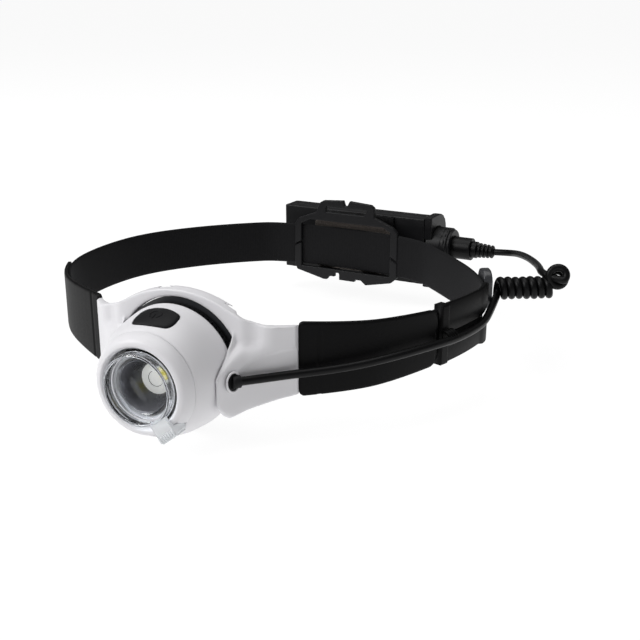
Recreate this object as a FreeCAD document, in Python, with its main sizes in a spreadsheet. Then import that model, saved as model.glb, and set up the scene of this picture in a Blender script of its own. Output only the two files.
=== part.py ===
import FreeCAD, Part
import math
import os

import Sketcher
from FreeCAD import Placement, Rotation, Vector

# Headband lamp with a focusing head, a rear battery pack and a curly power cord.
# Millimetres, +Z up. The lamp shines along -Y, the power cord is on the +X side.
# The origin is the middle of the head opening, at half the height of the strap.

DIMENSIONS = [
    # headband
    ("strap_width", 25.0, "height of the elastic strap"),
    ("strap_thick", 1.6, "thickness of the strap"),
    ("strap_gap", 0.3, "free space between the strap and the pieces along it"),
    ("panel_thick", 1.8, "thickness of a side panel"),
    ("panel_root", 34.0, "height of a side panel at the bracket"),
    ("panel_tip", 27.0, "height of a side panel at its far end"),
    ("keeper_wall", 1.2, "wall of the strap keepers"),
    ("keeper_long", 6.0, "length of the front keeper along the strap"),
    ("lobe_thick", 2.0, "thickness of the cord lobes of the rear keeper"),
    ("cord_slot", 4.6, "gap between the lobes, where the cord lies"),
    ("keeper_at", 81.0, "way along the strap from its right end to the front keeper"),
    ("clip_at", 143.5, "way along the strap from its right end to the cord clip"),
    ("clip_high", 20.5, "height of the cord clip"),
    ("clip_long", 15.0, "length of the cord clip along the strap"),
    ("clip_thick", 6.4, "thickness of the cord clip"),
    ("clip_z", 6.0, "height of the clip's middle over the strap's middle"),
    # lamp head, lengths along its axis measured back from the lens rim
    ("front_y", -140.0, "place of the lens rim"),
    ("lamp_z", -4.0, "height of the lamp axis"),
    ("shell_front", 9.0, "front edge of the head shell"),
    ("shell_back", 30.0, "rear edge of the head shell"),
    ("shell_radius", 28.4, "outer radius of the head shell at its rear edge"),
    ("shell_nose", 23.3, "outer radius of the head shell at its front edge"),
    ("shell_wall", 2.0, "wall of the head shell"),
    ("side_flat", 26.6, "half width of the head between the bracket cheeks"),
    ("bezel_bore", 17.4, "inner radius of the front bezel"),
    ("notch_radius", 20.3, "radius left under the lever notch"),
    ("rim_radius", 15.8, "outer radius of the clear focus ring"),
    ("rim_bore", 14.4, "inner radius of the clear focus ring"),
    ("skirt_radius", 17.0, "outer radius of the focus ring skirt"),
    ("skirt_bore", 15.9, "inner radius of the focus ring skirt"),
    ("lever_tip", 23.8, "radius of the lever's ribbed pad"),
    ("lever_angle", -52.0, "direction of the lever, from +X, positive upwards"),
    ("lens_radius", 14.2, "radius of the lens flange"),
    ("lens_front", 5.0, "front face of the lens flange"),
    ("lens_deep", 12.0, "depth of the lens"),
    ("run_gap", 0.3, "running clearance of the moving head pieces"),
    ("seal_gap", 0.1, "clearance of fixed pieces that seat on each other"),
    ("board_front", 22.3, "front face of the LED board"),
    ("board_thick", 1.6, "thickness of the circuit boards"),
    ("board_radius", 9.0, "radius of the LED board"),
    ("sink_radius", 27.7, "radius of the ribbed rim of the heat sink"),
    ("sink_back", 34.0, "rear face of the heat sink"),
    ("cover_thick", 1.6, "thickness of the rear cover"),
    ("gasket_thick", 0.4, "thickness of the rear gasket"),
    ("button_wide", 19.2, "width of the power button"),
    ("button_long", 13.6, "length of the power button along the lamp axis"),
    ("button_y", 18.3, "middle of the power button behind the lens rim"),
    ("button_rise", 0.8, "how far the button stands proud of the shell"),
    # tilt hinge
    ("hinge_y", 37.5, "tilt axis behind the lens rim"),
    ("hinge_z", -29.0, "height of the tilt axis"),
    ("hinge_radius", 3.2, "radius of the hinge barrels"),
    ("pin_radius", 1.2, "radius of the hinge pin"),
    ("pin_play", 0.05, "radial running clearance of the hinge pin"),
    ("knuckle_half", 8.3, "half length of the middle barrel"),
    ("lug_long", 4.6, "length of each outer barrel"),
    # bracket
    ("cheek_back", 35.0, "plane behind the lens rim where the cheeks end and the arms begin"),
    ("bridge_front", 38.4, "front face of the bracket bridge"),
    ("plate_thick", 1.5, "thickness of the grey back plate"),
    ("plate_radius", 29.8, "radius of the grey back plate"),
    ("lip_radius", 30.2, "inner radius of the lip over the head"),
    ("lip_wall", 2.2, "wall of the lip over the head"),
    ("pad_thick", 3.6, "thickness of the forehead pad"),
    # cord
    ("cord_thick", 3.8, "diameter of the power cord"),
    ("coil_thick", 11.6, "outer diameter of the coiled stretch"),
    # rear assembly, in its own frame that is turned about Z
    ("rear_x", -1.0, "middle of the buckle across the head"),
    ("rear_y", 96.2, "strap line at the buckle"),
    ("rear_turn", -5.0, "turn of the rear assembly in degrees"),
    ("frame_half", 34.7, "half width of the buckle frame"),
    ("window_half", 30.0, "half width of the buckle window"),
    ("frame_front", -4.2, "front face of the buckle frame"),
    ("frame_thick", 2.5, "thickness of the buckle frame"),
    ("holder_thick", 1.4, "thickness of the plate behind the buckle pad"),
    ("case_front", 10.4, "front face of the battery case"),
    ("case_left", -49.5, "left end of the battery case"),
    ("case_long", 95.0, "length of the battery case"),
    ("case_high", 40.0, "height of the battery case"),
    ("case_mid_z", 0.8, "height of the middle of the battery case"),
    ("case_deep", 23.0, "depth of the battery case"),
    ("case_split", 6.0, "depth of the front half of the case"),
    ("driver_y", 28.5, "front face of the driver board behind the lens rim"),
    ("driver_radius", 17, "radius of the driver board"),
    ("screw_reach", 41.5, "from the middle of the case to its screws, sideways"),
    ("screw_rise", 8, "from the middle of the case to its screws, up and down"),
    ("sink_deep", 0.8, "depth of the recess over a case screw"),
    ("head_thick", 0.4, "visible thickness of a case screw head"),
    ("case_wall", 1.5, "wall of the battery case"),
    ("case_round", 10.0, "radius of the long rear edges of the case"),
    ("cell_radius", 8.2, "radius of a battery cell"),
    ("cell_long", 65.0, "length of a battery cell"),
    ("plug_y", 21.0, "plug axis behind the strap line"),
    ("plug_z", 3.5, "height of the plug axis"),
    ("collar_radius", 11.4, "outer radius of the lock collar"),
    ("collar_long", 12.5, "length of the lock collar"),
    ("plug_radius", 6.6, "radius of the plug body"),
    ("plug_long", 11.5, "length of the plug body outside the collar"),
    ("relief_long", 13.5, "length of the ribbed strain relief"),
]

doc = FreeCAD.newDocument("HeadbandLamp")
sheet = doc.addObject("Spreadsheet::Sheet", "Sizes")
for row, (name, number, note) in enumerate(DIMENSIONS, start=1):
    sheet.set("A%d" % row, name)
    sheet.set("B%d" % row, str(number))
    sheet.set("C%d" % row, note)
    sheet.setAlias("B%d" % row, name)
doc.recompute()

nodes = []


def full(text):
    """An expression written with bare size names, as FreeCAD reads it."""
    words = sorted((name for name, number, note in DIMENSIONS), key=len, reverse=True)
    out = ""
    rest = str(text)
    while rest:
        word = next((w for w in words if rest.startswith(w)), None)
        step = len(word) if word else 1
        out += "Sizes." + word if word else rest[0]
        rest = rest[step:]
    return out


def value(text):
    """The number that an expression of size names has now."""
    return float(sheet.evalExpression(full(text)))


def bind(thing, **places):
    """Ties properties of an object to the sheet; Base_x stands for Placement.Base.x."""
    for key, text in places.items():
        path = key.replace("Base_", "Placement.Base.")
        thing.setExpression(path, full(text))
    return thing


def keep(thing, label):
    """Marks an object as a finished piece of the lamp."""
    thing.Label = label
    nodes.append(thing)
    return thing


def on_lamp(thing):
    """Puts a piece on the lamp axis, with its own Y measured from the lens rim."""
    return bind(thing, Base_y="front_y", Base_z="lamp_z")


def on_rear(thing):
    """Puts a piece in the turned frame of the buckle and the battery."""
    thing.Placement = Placement(Vector(0, 0, 0), Rotation(Vector(0, 0, 1), value("rear_turn")))
    thing.setExpression("Placement.Rotation.Angle", full("rear_turn"))
    return bind(thing, Base_x="rear_x", Base_y="rear_y")


def rear_place(x, y, z):
    """A point of the rear frame in the lamp's frame."""
    turn = Rotation(Vector(0, 0, 1), value("rear_turn"))
    return turn.multVec(Vector(x, y, 0)) + Vector(value("rear_x"), value("rear_y"), z)


def outline(body, plane, points):
    """A closed sketch of straight edges; each corner is a pair of expressions."""
    sketch = body.newObject("Sketcher::SketchObject", body.Name + "_sketch")
    origin = [f for f in body.Origin.OriginFeatures if f.Role == plane][0]
    sketch.AttachmentSupport = [(origin, "")]
    sketch.MapMode = "FlatFace"
    corners = [Vector(value(x), value(y), 0) for x, y in points]
    count = len(corners)
    for i in range(count):
        sketch.addGeometry(Part.LineSegment(corners[i], corners[(i + 1) % count]))
    for i in range(count):
        sketch.addConstraint(Sketcher.Constraint("Coincident", i, 2, (i + 1) % count, 1))
    for i, (x, y) in enumerate(points):
        for kind, text in (("DistanceX", x), ("DistanceY", y)):
            number = sketch.addConstraint(Sketcher.Constraint(kind, -1, 1, i, 1, value(text)))
            sketch.setExpression("Constraints[%d]" % number, full(text))
    return sketch


def turned(name, points):
    """A solid of revolution about the Y axis; corners are (radius, along)."""
    body = doc.addObject("PartDesign::Body", name)
    sketch = outline(body, "XY_Plane", points)
    turn = body.newObject("PartDesign::Revolution", name + "_turn")
    turn.Profile = sketch
    turn.ReferenceAxis = (sketch, ["V_Axis"])
    turn.Angle = 360
    return body


def plate(name, plane, points, length, middle=False):
    """A prism of a straight-edged outline; on the XZ plane a prism grows towards -Y."""
    body = doc.addObject("PartDesign::Body", name)
    sketch = outline(body, plane, points)
    pad = body.newObject("PartDesign::Pad", name + "_pad")
    pad.Profile = sketch
    pad.Midplane = middle
    pad.setExpression("Length", full(length))
    return body


def box(name, low, long):
    """A box from its lowest corner and its three lengths, all expressions."""
    thing = doc.addObject("Part::Box", name)
    bind(thing, Length=long[0], Width=long[1], Height=long[2])
    return bind(thing, Base_x=low[0], Base_y=low[1], Base_z=low[2])


def rod(name, axis, radius, length, low):
    """A cylinder along X, Y or Z that starts at low."""
    thing = doc.addObject("Part::Cylinder", name)
    turns = {"X": Rotation(Vector(0, 1, 0), 90), "Y": Rotation(Vector(1, 0, 0), -90), "Z": Rotation()}
    thing.Placement = Placement(Vector(0, 0, 0), turns[axis])
    bind(thing, Radius=radius, Height=length)
    return bind(thing, Base_x=low[0], Base_y=low[1], Base_z=low[2])


def fuse(name, parts):
    """One solid from pieces that overlap."""
    thing = doc.addObject("Part::MultiFuse", name)
    thing.Shapes = parts
    return thing


def common(name, parts):
    """The space that all the given shapes share."""
    thing = doc.addObject("Part::MultiCommon", name)
    thing.Shapes = parts
    return thing


def cut(name, base, tools):
    """The base without its tools."""
    thing = doc.addObject("Part::Cut", name)
    thing.Base = base
    thing.Tool = tools[0] if len(tools) == 1 else fuse(name + "_tools", tools)
    return thing


def group(name, parts):
    """Separate solids that share one node."""
    thing = doc.addObject("Part::Compound", name)
    thing.Links = parts
    return thing


def shaped(name, shape):
    """A piece whose surface is swept or splined, set from Part's own functions."""
    thing = doc.addObject("Part::Feature", name)
    thing.Shape = shape
    return thing


def smooth_prism(front, back, along, start, length):
    """A prism between two splines, the second run backwards to close the outline."""
    first = Part.BSplineCurve()
    first.interpolate(front)
    second = Part.BSplineCurve()
    second.interpolate(back)
    edges = [first.toShape(), Part.LineSegment(front[-1], back[0]).toShape(), second.toShape(),
             Part.LineSegment(back[-1], front[0]).toShape()]
    face = Part.Face(Part.Wire(edges))
    solid = face.extrude(along * length)
    solid.translate(along * start)
    return solid


def rounded(points, tell=None):
    """Straight runs through the points, joined by tangent arcs as large as the runs allow."""
    edges = []
    last = points[0]
    radii = []
    for before, corner, after in zip(points, points[1:], points[2:]):
        way_in = corner - before
        way_out = after - corner
        turn = way_in.getAngle(way_out)
        reach = 0.45 * min(way_in.Length, way_out.Length)
        radii.append(reach / math.tan(turn / 2))
        way_in.normalize()
        way_out.normalize()
        start = corner - way_in * reach
        end = corner + way_out * reach
        inward = way_out - way_in
        inward.normalize()
        middle = corner + inward * (radii[-1] / math.cos(turn / 2) - radii[-1])
        edges.append(Part.LineSegment(last, start).toShape())
        edges.append(Part.Arc(start, middle, end).toShape())
        last = end
    edges.append(Part.LineSegment(last, points[-1]).toShape())
    if tell:
        print(tell, "radii", [round(r, 1) for r in radii])
    return Part.Wire(edges)


def tube(points, diameter, tell):
    """A round bar along a rounded path."""
    path = rounded(points, tell)
    ring = Part.Wire(Part.Circle(points[0], points[1] - points[0], diameter / 2).toShape())
    solid = path.makePipeShell([ring], True, True)
    ideal = math.pi * diameter * diameter / 4 * path.Length
    print(tell, "length %.1f" % path.Length, "volume ratio %.4f" % (solid.Volume / ideal))
    return solid


def ribbon(points, inner, outer, low, high):
    """A flat band along a plan path, between two offsets to its right and two heights."""
    path = rounded(points)
    ahead = points[1] - points[0]
    ahead.normalize()
    right = Vector(ahead.y, -ahead.x, 0)
    corners = [points[0] + right * inner + Vector(0, 0, low), points[0] + right * outer + Vector(0, 0, low),
               points[0] + right * outer + Vector(0, 0, high), points[0] + right * inner + Vector(0, 0,
                                                                                                  high)]
    section = Part.makePolygon(corners + corners[:1])
    return path.makePipeShell([section], True, True)


# ---------------------------------------------------------------- lamp head, front pieces

def front_bezel():
    """Rounded white ring with a spigot into the shell and a track for the focus lever."""
    ring = turned("bezel_ring", [
        ("bezel_bore", "3.4"), ("bezel_bore + 1.2", "2.2"), ("bezel_bore + 3.4", "3.2"),
        ("shell_nose - 0.9", "5.6"), ("shell_nose", "shell_front - 0.3"),
        ("shell_nose - shell_wall - 0.4", "shell_front - 0.3"), ("shell_nose - shell_wall - 0.4", "12"),
        ("bezel_bore + 1.9", "12"), ("bezel_bore", "10")])
    track = turned("bezel_track", [
        ("notch_radius", "0"), ("shell_nose + 2", "0"), ("shell_nose + 2", "shell_front - 0.3"),
        ("notch_radius", "shell_front - 0.3")])
    wedge = plate("bezel_wedge", "XZ_Plane", [
        ("0", "0"), ("-30 * cos(50 deg)", "-30 * sin(50 deg)"), ("0", "-40"),
        ("30 * cos(36 deg)", "-30 * sin(36 deg)")], "60", True)
    sector = common("bezel_sector", [track, wedge])
    return keep(on_lamp(cut("bezel_cut", ring, [sector])), "front_bezel")


def focus_ring():
    """Clear ring that turns about the lamp axis, with its ribbed lever."""
    ring = turned("focus_round", [
        ("rim_bore", "0.5"), ("rim_radius - 0.6", "0"), ("rim_radius", "0.5"), ("rim_radius", "4"),
        ("skirt_radius", "4"), ("skirt_radius", "19"), ("skirt_bore", "19"),
        ("skirt_bore", "17.5"), ("skirt_bore + 0.6", "17.5"), ("skirt_bore + 0.6", "7.5"),
        ("skirt_bore", "7.5"), ("skirt_bore", "4.6"), ("rim_bore", "4.6")])
    arm = box("lever_arm", ("rim_radius - 1", "0.5", "-4"), ("lever_tip - rim_radius", "1.5", "8"))
    pad = box("lever_pad", ("notch_radius + 0.3", "0.5", "-4.6"), ("lever_tip - notch_radius - 0.9",
                                                                   "7.9", "9.2"))
    ribs = []
    for number in range(6):
        rib = rod("lever_rib%d" % number, "Y", "0.55", "7.9", ("lever_tip - 0.6", "0.5",
                                                               "%s" % (1.5 * number - 3.75)))
        ribs.append(rib)
    lever = fuse("lever", [arm, pad] + ribs)
    lever.Placement = Placement(Vector(0, 0, 0), Rotation(Vector(0, 1, 0), -value("lever_angle")))
    lever.setExpression("Placement.Rotation.Angle", full("0 - lever_angle"))
    return keep(on_lamp(fuse("focus_whole", [ring, lever])), "focus_ring")


def lens_carrier():
    """Dark sleeve that slides along the lamp axis and carries the lens."""
    sleeve = turned("carrier_sleeve", [
        ("skirt_bore - run_gap", "lens_front"), ("skirt_bore - run_gap", "13"), ("11.4", "13"),
        ("8.5", "lens_front + lens_deep"), ("7.6", "lens_front + lens_deep"), ("12.8", "lens_front + 3.2"),
        ("13.2", "lens_front + 3.2"), ("13.2", "lens_front + 1.9"), ("lens_radius + 0.1",
                                                                     "lens_front + 1.9"),
        ("lens_radius + 0.1", "lens_front")])
    studs = []
    for number in range(3):
        stud = rod("cam_stud%d" % number, "X", "1", "1.2", ("skirt_bore - run_gap - 0.8", "10", "0"))
        turn = doc.addObject("Part::Compound", "cam_turn%d" % number)
        turn.Links = [stud]
        turn.Placement = Placement(Vector(0, 0, 0), Rotation(Vector(0, 1, 0), 90 + 120 * number))
        studs.append(turn)
    return keep(on_lamp(fuse("carrier_whole", [sleeve] + studs)), "lens_carrier")


def tir_lens():
    """Clear lens with a deep front well, a convex middle and a hollow for the LED."""
    lens = turned("lens_body", [
        ("lens_radius", "lens_front"), ("lens_radius", "lens_front + 1.8"), ("12.8", "lens_front + 1.8"),
        ("6.6", "lens_front + lens_deep"), ("4.3", "lens_front + lens_deep"), ("4", "lens_front + 9.2"),
        ("0", "lens_front + 8.8"), ("0", "lens_front + 5.6"), ("3.8", "lens_front + 6.2"),
        ("7", "lens_front + 7.8"), ("11.4", "lens_front")])
    return keep(on_lamp(lens), "tir_lens")


def front_seal():
    """Rubber ring that seals the bezel against the shell."""
    seal = turned("seal_ring", [
        ("bezel_bore + 2.2", "12.1"), ("bezel_bore + 4.2", "12.1"), ("bezel_bore + 4.2", "13.1"),
        ("bezel_bore + 2.2", "13.1")])
    return keep(on_lamp(seal), "front_seal")


# ---------------------------------------------------------------- lamp head, body

def shell_profile(grow):
    """Outline of the bell-shaped shell, from its front edge to its rear edge."""
    wall = "shell_wall"
    return [
        ("shell_nose%s" % grow, "shell_front"), ("shell_nose + 2.4%s" % grow, "14"),
        ("shell_nose + 3.9%s" % grow, "20"), ("shell_radius%s" % grow, "shell_back"),
        ("shell_radius - %s%s" % (wall, grow), "shell_back"), ("shell_nose + 3.9 - %s%s" % (wall, grow),
                                                               "20"),
        ("shell_nose + 2.4 - %s%s" % (wall, grow), "14"), ("shell_nose - %s%s" % (wall, grow),
                                                           "shell_front")]


def button_outline(gap):
    """Leaf outline of the power button seen from above."""
    half = "(button_wide / 2 + %s)" % gap
    front = "(button_long / 2 + %s)" % gap
    return [
        ("0 - 0.84 * %s" % half, "button_y - 0.82 * %s" % front), ("0", "button_y - %s" % front),
        ("0.88 * %s" % half, "button_y - 0.78 * %s" % front), (half, "button_y - 0.2 * %s" % front),
        ("0.92 * %s" % half, "button_y + 0.78 * %s" % front), ("0", "button_y + %s" % front),
        ("0 - 0.92 * %s" % half, "button_y + 0.78 * %s" % front), ("0 - %s" % half,
                                                                   "button_y - 0.2 * %s" % front)]


def head_shell():
    """White moulded bell behind the bezel, flat beside the bracket cheeks."""
    bell = turned("shell_bell", shell_profile(""))
    flats = box("shell_flats", ("0 - side_flat", "0", "-40"), ("2 * side_flat", "60", "80"))
    sides = common("shell_sides", [bell, flats])
    opening = plate("shell_opening", "XY_Plane", button_outline("0.4"), "60")
    return keep(on_lamp(cut("shell_whole", sides, [opening])), "head_shell")


def power_button():
    """Black rubber button that follows the curve of the shell, a little proud of it."""
    under = "- shell_wall - 0.2"
    crown = turned("button_crown", [
        ("shell_nose + 0.96 + button_rise", "11"), ("shell_nose + 2.4 + button_rise", "14"),
        ("shell_nose + 3.9 + button_rise", "20"), ("shell_radius + button_rise", "shell_back"),
        ("shell_radius %s" % under, "shell_back"), ("shell_nose + 3.9 %s" % under, "20"),
        ("shell_nose + 2.4 %s" % under, "14"), ("shell_nose + 0.96 %s" % under, "11")])
    leaf = plate("button_leaf", "XY_Plane", button_outline("0"), "60")
    return keep(on_lamp(common("button_whole", [crown, leaf])), "power_button")


def switch_parts():
    """Tact switch under the power button and the small board that carries it."""
    low = "lamp_z + skirt_radius + 0.4"
    board = box("switch_board_box", ("-7", "front_y + button_y - 4", low), ("14", "8", "1"))
    keep(board, "switch_board")
    body = box("switch_body", ("-3", "front_y + button_y - 3", low + " + 1.1"), ("6", "6", "3"))
    stem = rod("switch_stem", "Z", "1.5", "1.8", ("0", "front_y + button_y", low + " + 4"))
    keep(fuse("switch_whole", [body, stem]), "tact_switch")


def light_parts():
    """White LED board, the emitter on it and the driver board behind the heat sink."""
    board = turned("led_board_disc", [
        ("0", "board_front"), ("board_radius", "board_front"), ("board_radius", "board_front + board_thick"),
        ("0", "board_front + board_thick")])
    keep(on_lamp(board), "led_board")
    base = box("emitter_base", ("-1.75", "board_front - 0.8", "-1.75"), ("3.5", "0.7", "3.5"))
    dome = turned("emitter_dome", [
        ("0", "board_front - 0.7"), ("1.6", "board_front - 0.7"), ("1.3", "board_front - 1.5"),
        ("0", "board_front - 1.9")])
    keep(on_lamp(fuse("emitter_whole", [base, dome])), "led_emitter")
    driver = turned("driver_disc", [
        ("0", "driver_y"), ("driver_radius", "driver_y"), ("driver_radius", "driver_y + board_thick"),
        ("0", "driver_y + board_thick")])
    keep(on_lamp(driver), "driver_board")


def heat_sink():
    """Dark cup behind the LED board; its ribbed rim shows behind the shell."""
    rim = "shell_back + gasket_thick + 2 * seal_gap"
    back = "sink_back"
    cup = doc.addObject("PartDesign::Body", "sink_cup")
    sketch = outline(cup, "XY_Plane", [
        ("0", "board_front + board_thick + seal_gap"), ("21.5", "board_front + board_thick + seal_gap"),
        ("21.5", "28.4"), ("shell_radius - shell_wall - 0.7",
                "28.4"), ("shell_radius - shell_wall - 0.5", rim), ("sink_radius", rim), ("sink_radius",
                        back), ("20.5", back),
        ("20.5", "27"), ("0", "27")])
    turn = cup.newObject("PartDesign::Revolution", "sink_turn")
    turn.Profile = sketch
    turn.ReferenceAxis = (sketch, ["V_Axis"])
    turn.Angle = 360
    slot = cup.newObject("Sketcher::SketchObject", "sink_slot")
    slot.AttachmentSupport = [([f for f in cup.Origin.OriginFeatures if f.Role == "XY_Plane"][0], "")]
    slot.MapMode = "FlatFace"
    corners = [("-0.35", rim), ("0.35", rim), ("0.35", back + " + 1"), ("-0.35", back + " + 1")]
    places = [Vector(value(x), value(y), 0) for x, y in corners]
    for i in range(4):
        slot.addGeometry(Part.LineSegment(places[i], places[(i + 1) % 4]))
    for i in range(4):
        slot.addConstraint(Sketcher.Constraint("Coincident", i, 2, (i + 1) % 4, 1))
    for i, (x, y) in enumerate(corners):
        for kind, text in (("DistanceX", x), ("DistanceY", y)):
            number = slot.addConstraint(Sketcher.Constraint(kind, -1, 1, i, 1, value(text)))
            slot.setExpression("Constraints[%d]" % number, full(text))
    slot.AttachmentOffset = Placement(Vector(0, 0, value("sink_radius - 0.8")), Rotation())
    slot.setExpression("AttachmentOffset.Base.z", full("sink_radius - 0.8"))
    doc.recompute()
    groove = cup.newObject("PartDesign::Pocket", "sink_groove")
    groove.Profile = slot
    groove.Reversed = True
    groove.Length = 3
    around = cup.newObject("PartDesign::PolarPattern", "sink_around")
    around.Originals = [groove]
    around.Axis = (sketch, ["V_Axis"])
    around.Angle = 360
    around.Occurrences = 72
    cup.Tip = around
    flats = box("sink_flats", ("0 - side_flat", "0", "-40"), ("2 * side_flat", "60", "80"))
    room = lug_room("sink")
    return keep(on_lamp(cut("sink_whole", common("sink_sides", [cup, flats]), [room])), "heat_sink")


def lug_room(name):
    """Space round the tilt axis for the barrels of the hinge."""
    reach = "lug_long + knuckle_half + 1"
    return rod(name + "_room", "X", "hinge_radius + run_gap", "2 * (%s)" % reach,
               ("0 - (%s)" % reach, "hinge_y", "hinge_z - lamp_z"))


def rear_gasket():
    """Thin rubber gasket between the shell and the heat sink rim."""
    front = "shell_back + seal_gap"
    back = "shell_back + seal_gap + gasket_thick"
    ring = turned("gasket_ring", [
        ("shell_radius - shell_wall - 0.2", front), ("sink_radius - 0.4", front), ("sink_radius - 0.4",
                                                                                   back),
        ("shell_radius - shell_wall - 0.2", back)])
    flats = box("gasket_flats", ("0 - side_flat", "0", "-40"), ("2 * side_flat", "60", "80"))
    return keep(on_lamp(common("gasket_whole", [ring, flats])), "rear_gasket")


def rear_cover():
    """Dark cover over the driver, with the middle barrel of the tilt hinge."""
    front = "sink_back + seal_gap"
    disc = turned("cover_disc", [
        ("0", front), ("sink_radius", front), ("sink_radius", front + " + cover_thick"),
        ("0", front + " + cover_thick")])
    flats = box("cover_flats", ("0 - side_flat", "0", "-40"), ("2 * side_flat", "60", "80"))
    panel = cut("cover_panel", common("cover_sides", [disc, flats]), [lug_room("cover")])
    barrel = rod("cover_barrel", "X", "hinge_radius", "2 * knuckle_half",
                 ("0 - knuckle_half", "hinge_y", "hinge_z - lamp_z"))
    web = box("cover_web", ("0 - knuckle_half", front, "hinge_z - lamp_z - 1"),
              ("2 * knuckle_half", "cover_thick + 1", "8"))
    bore = rod("cover_bore", "X", "pin_radius + pin_play", "40", ("-20", "hinge_y", "hinge_z - lamp_z"))
    solid = fuse("cover_solid", [panel, barrel, web])
    return keep(on_lamp(cut("cover_whole", solid, [bore])), "rear_cover")


def cover_screws():
    """Three countersunk screws that close the head from behind."""
    screws = []
    for number, angle in enumerate((20, 90, 160)):
        x = "23 * cos(%d deg)" % angle
        z = "lamp_z + 23 * sin(%d deg)" % angle
        start = "front_y + sink_back + seal_gap + cover_thick + 0.02"
        head = rod("cover_head%d" % number, "Y", "1.9", "0.5", (x, start, z))
        screws.append(head)
    return keep(group("cover_screw_heads", screws), "cover_screws")


# ---------------------------------------------------------------- bracket

def lamp_point(x, y, z):
    """A point whose Y is measured back from the lens rim."""
    return Vector(x, value("front_y") + y, z)


def bracket_faces():
    """The front outline, the plan of one flank and the plan of the bridge."""
    top = [(-53, 15.9), (-43, 16.8), (-35, 18.2), (-27.5, 21.8), (-18.5, 26), (-9.4, 28.7), (0, 29.6)]
    bottom = [(0, -28.5), (-9, -27.7), (-18, -25.2), (-27.5, -21.8), (-35.5, -19.3), (-43.5, -17.2),
              (-53, -15.9)]
    upper = [Vector(x, 0, z) for x, z in top + [(-x, z) for x, z in reversed(top[:-1])]]
    lower = [Vector(-x, 0, z) for x, z in reversed(bottom)] + [Vector(x, 0, z) for x, z in bottom[1:]]
    front = smooth_prism(upper, lower, Vector(0, 1, 0), value("front_y"), 70)
    side = value("side_flat") + value("run_gap")
    skin = [lamp_point(side + 1.8, 18, 0), lamp_point(30.6, 24, 0), lamp_point(34.6, 30.4, 0),
            lamp_point(40.5, 37.5, 0), lamp_point(46, 43.2, 0), lamp_point(51.5, 48.6, 0)]
    inside = [lamp_point(49.7, 50.9, 0), lamp_point(44, 45.6, 0), lamp_point(38.5, 41.2, 0),
              lamp_point(32, 36.5, 0), lamp_point(side + 0.4, 32, 0), lamp_point(side, 18, 0)]
    flank = smooth_prism(skin, inside, Vector(0, 0, 1), -36, 72)
    ahead = value("bridge_front")
    face = [lamp_point(-38, ahead, 0), lamp_point(0, ahead, 0), lamp_point(38, ahead, 0)]
    rear = [lamp_point(38, 41.2, 0), lamp_point(0, 41.4, 0), lamp_point(-38, 41.2, 0)]
    bridge = smooth_prism(face, rear, Vector(0, 0, 1), -36, 72)
    return front, flank, bridge


def cheek_prism():
    """Side outline of the cheeks: a steep upper edge, a round front and a round bottom."""
    back = value("cheek_back")
    seam = [(back, -25), (23, -19.3), (17.1, -12.1), (15.5, -5), (21.9, 1.7), (30, 6.5), (back, 8.2)]
    end = [(back + 7, 8.2), (back + 7, -25)]
    return smooth_prism([lamp_point(0, y, z) for y, z in seam], [lamp_point(0, y, z) for y, z in end],
                        Vector(1, 0, 0), -60, 120)


def bracket_frame():
    """White bracket: two cheeks and arms, the bridge behind the head, a lip and two hinge lugs."""
    front, flank, bridge = bracket_faces()
    other = flank.mirror(Vector(0, 0, 0), Vector(1, 0, 0))
    face = shaped("bracket_face", front)
    flanks = fuse("bracket_flanks", [shaped("flank_right", flank), shaped("flank_left", other)])
    cheeks = shaped("bracket_cheeks", cheek_prism())
    behind = box("bracket_behind", ("-60", "front_y + cheek_back", "-40"), ("120", "30", "80"))
    room = box("head_room", ("0 - side_flat - run_gap", "front_y", "-60"),
               ("2 * (side_flat + run_gap)", "bridge_front - 0.2", "120"))
    reach = common("bracket_sides", [flanks, face, fuse("bracket_reach", [cheeks, behind])])
    arms = cut("bracket_arms", reach, [room])
    span = common("bracket_span", [shaped("bridge_plan", bridge), face])
    light = rod("bridge_hole", "Y", "12", "20", ("0", "front_y + 30", "lamp_z"))
    lip = cut("bracket_lip", rod("lip_out", "Y", "lip_radius + lip_wall", "3", ("0", "front_y + 35.6",
                                                                                "lamp_z")),
              [rod("lip_in", "Y", "lip_radius", "9", ("0", "front_y + 33", "lamp_z")),
               box("lip_low", ("-60", "front_y + 30", "-50"), ("120", "20", "61"))])
    long = "2 * (knuckle_half + run_gap + lug_long)"
    start = ("0 - knuckle_half - run_gap - lug_long", "front_y + hinge_y", "hinge_z")
    lugs = fuse("bracket_lugs", [
        rod("lug_rod", "X", "hinge_radius", long, start),
        box("lug_web", ("0 - knuckle_half - run_gap - lug_long", "front_y + bridge_front", "hinge_z - 1.5"),
            (long, "2.8", "7"))])
    gap = fuse("knuckle_gap", [
        rod("knuckle_round", "X", "hinge_radius + run_gap", "2 * (knuckle_half + run_gap)",
            ("0 - knuckle_half - run_gap", "front_y + hinge_y", "hinge_z")),
        box("knuckle_slot", ("0 - knuckle_half - run_gap", "front_y + hinge_y - 5", "hinge_z - 6"),
            ("2 * (knuckle_half + run_gap)", "12", "9.5"))])
    bore = rod("lug_bore", "X", "pin_radius", "60", ("-30", "front_y + hinge_y", "hinge_z"))
    ahead = CORD_FRONT[1] - CORD_FRONT[0]
    ahead.normalize()
    mouth = shaped("cord_mouth", Part.makeCylinder(3.4, 6.5, CORD_FRONT[0] - ahead * 1.5, ahead))
    groove = shaped("cord_groove", tube([CORD_FRONT[0] - ahead * 0.3] + CORD_FRONT[1:3], 4.8, "groove"))
    shell = fuse("bracket_shell", [arms, cut("bracket_bridge", span, [light]), lip, lugs])
    return keep(cut("bracket_whole", shell, [gap, bore, mouth, groove]), "bracket_frame")


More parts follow.
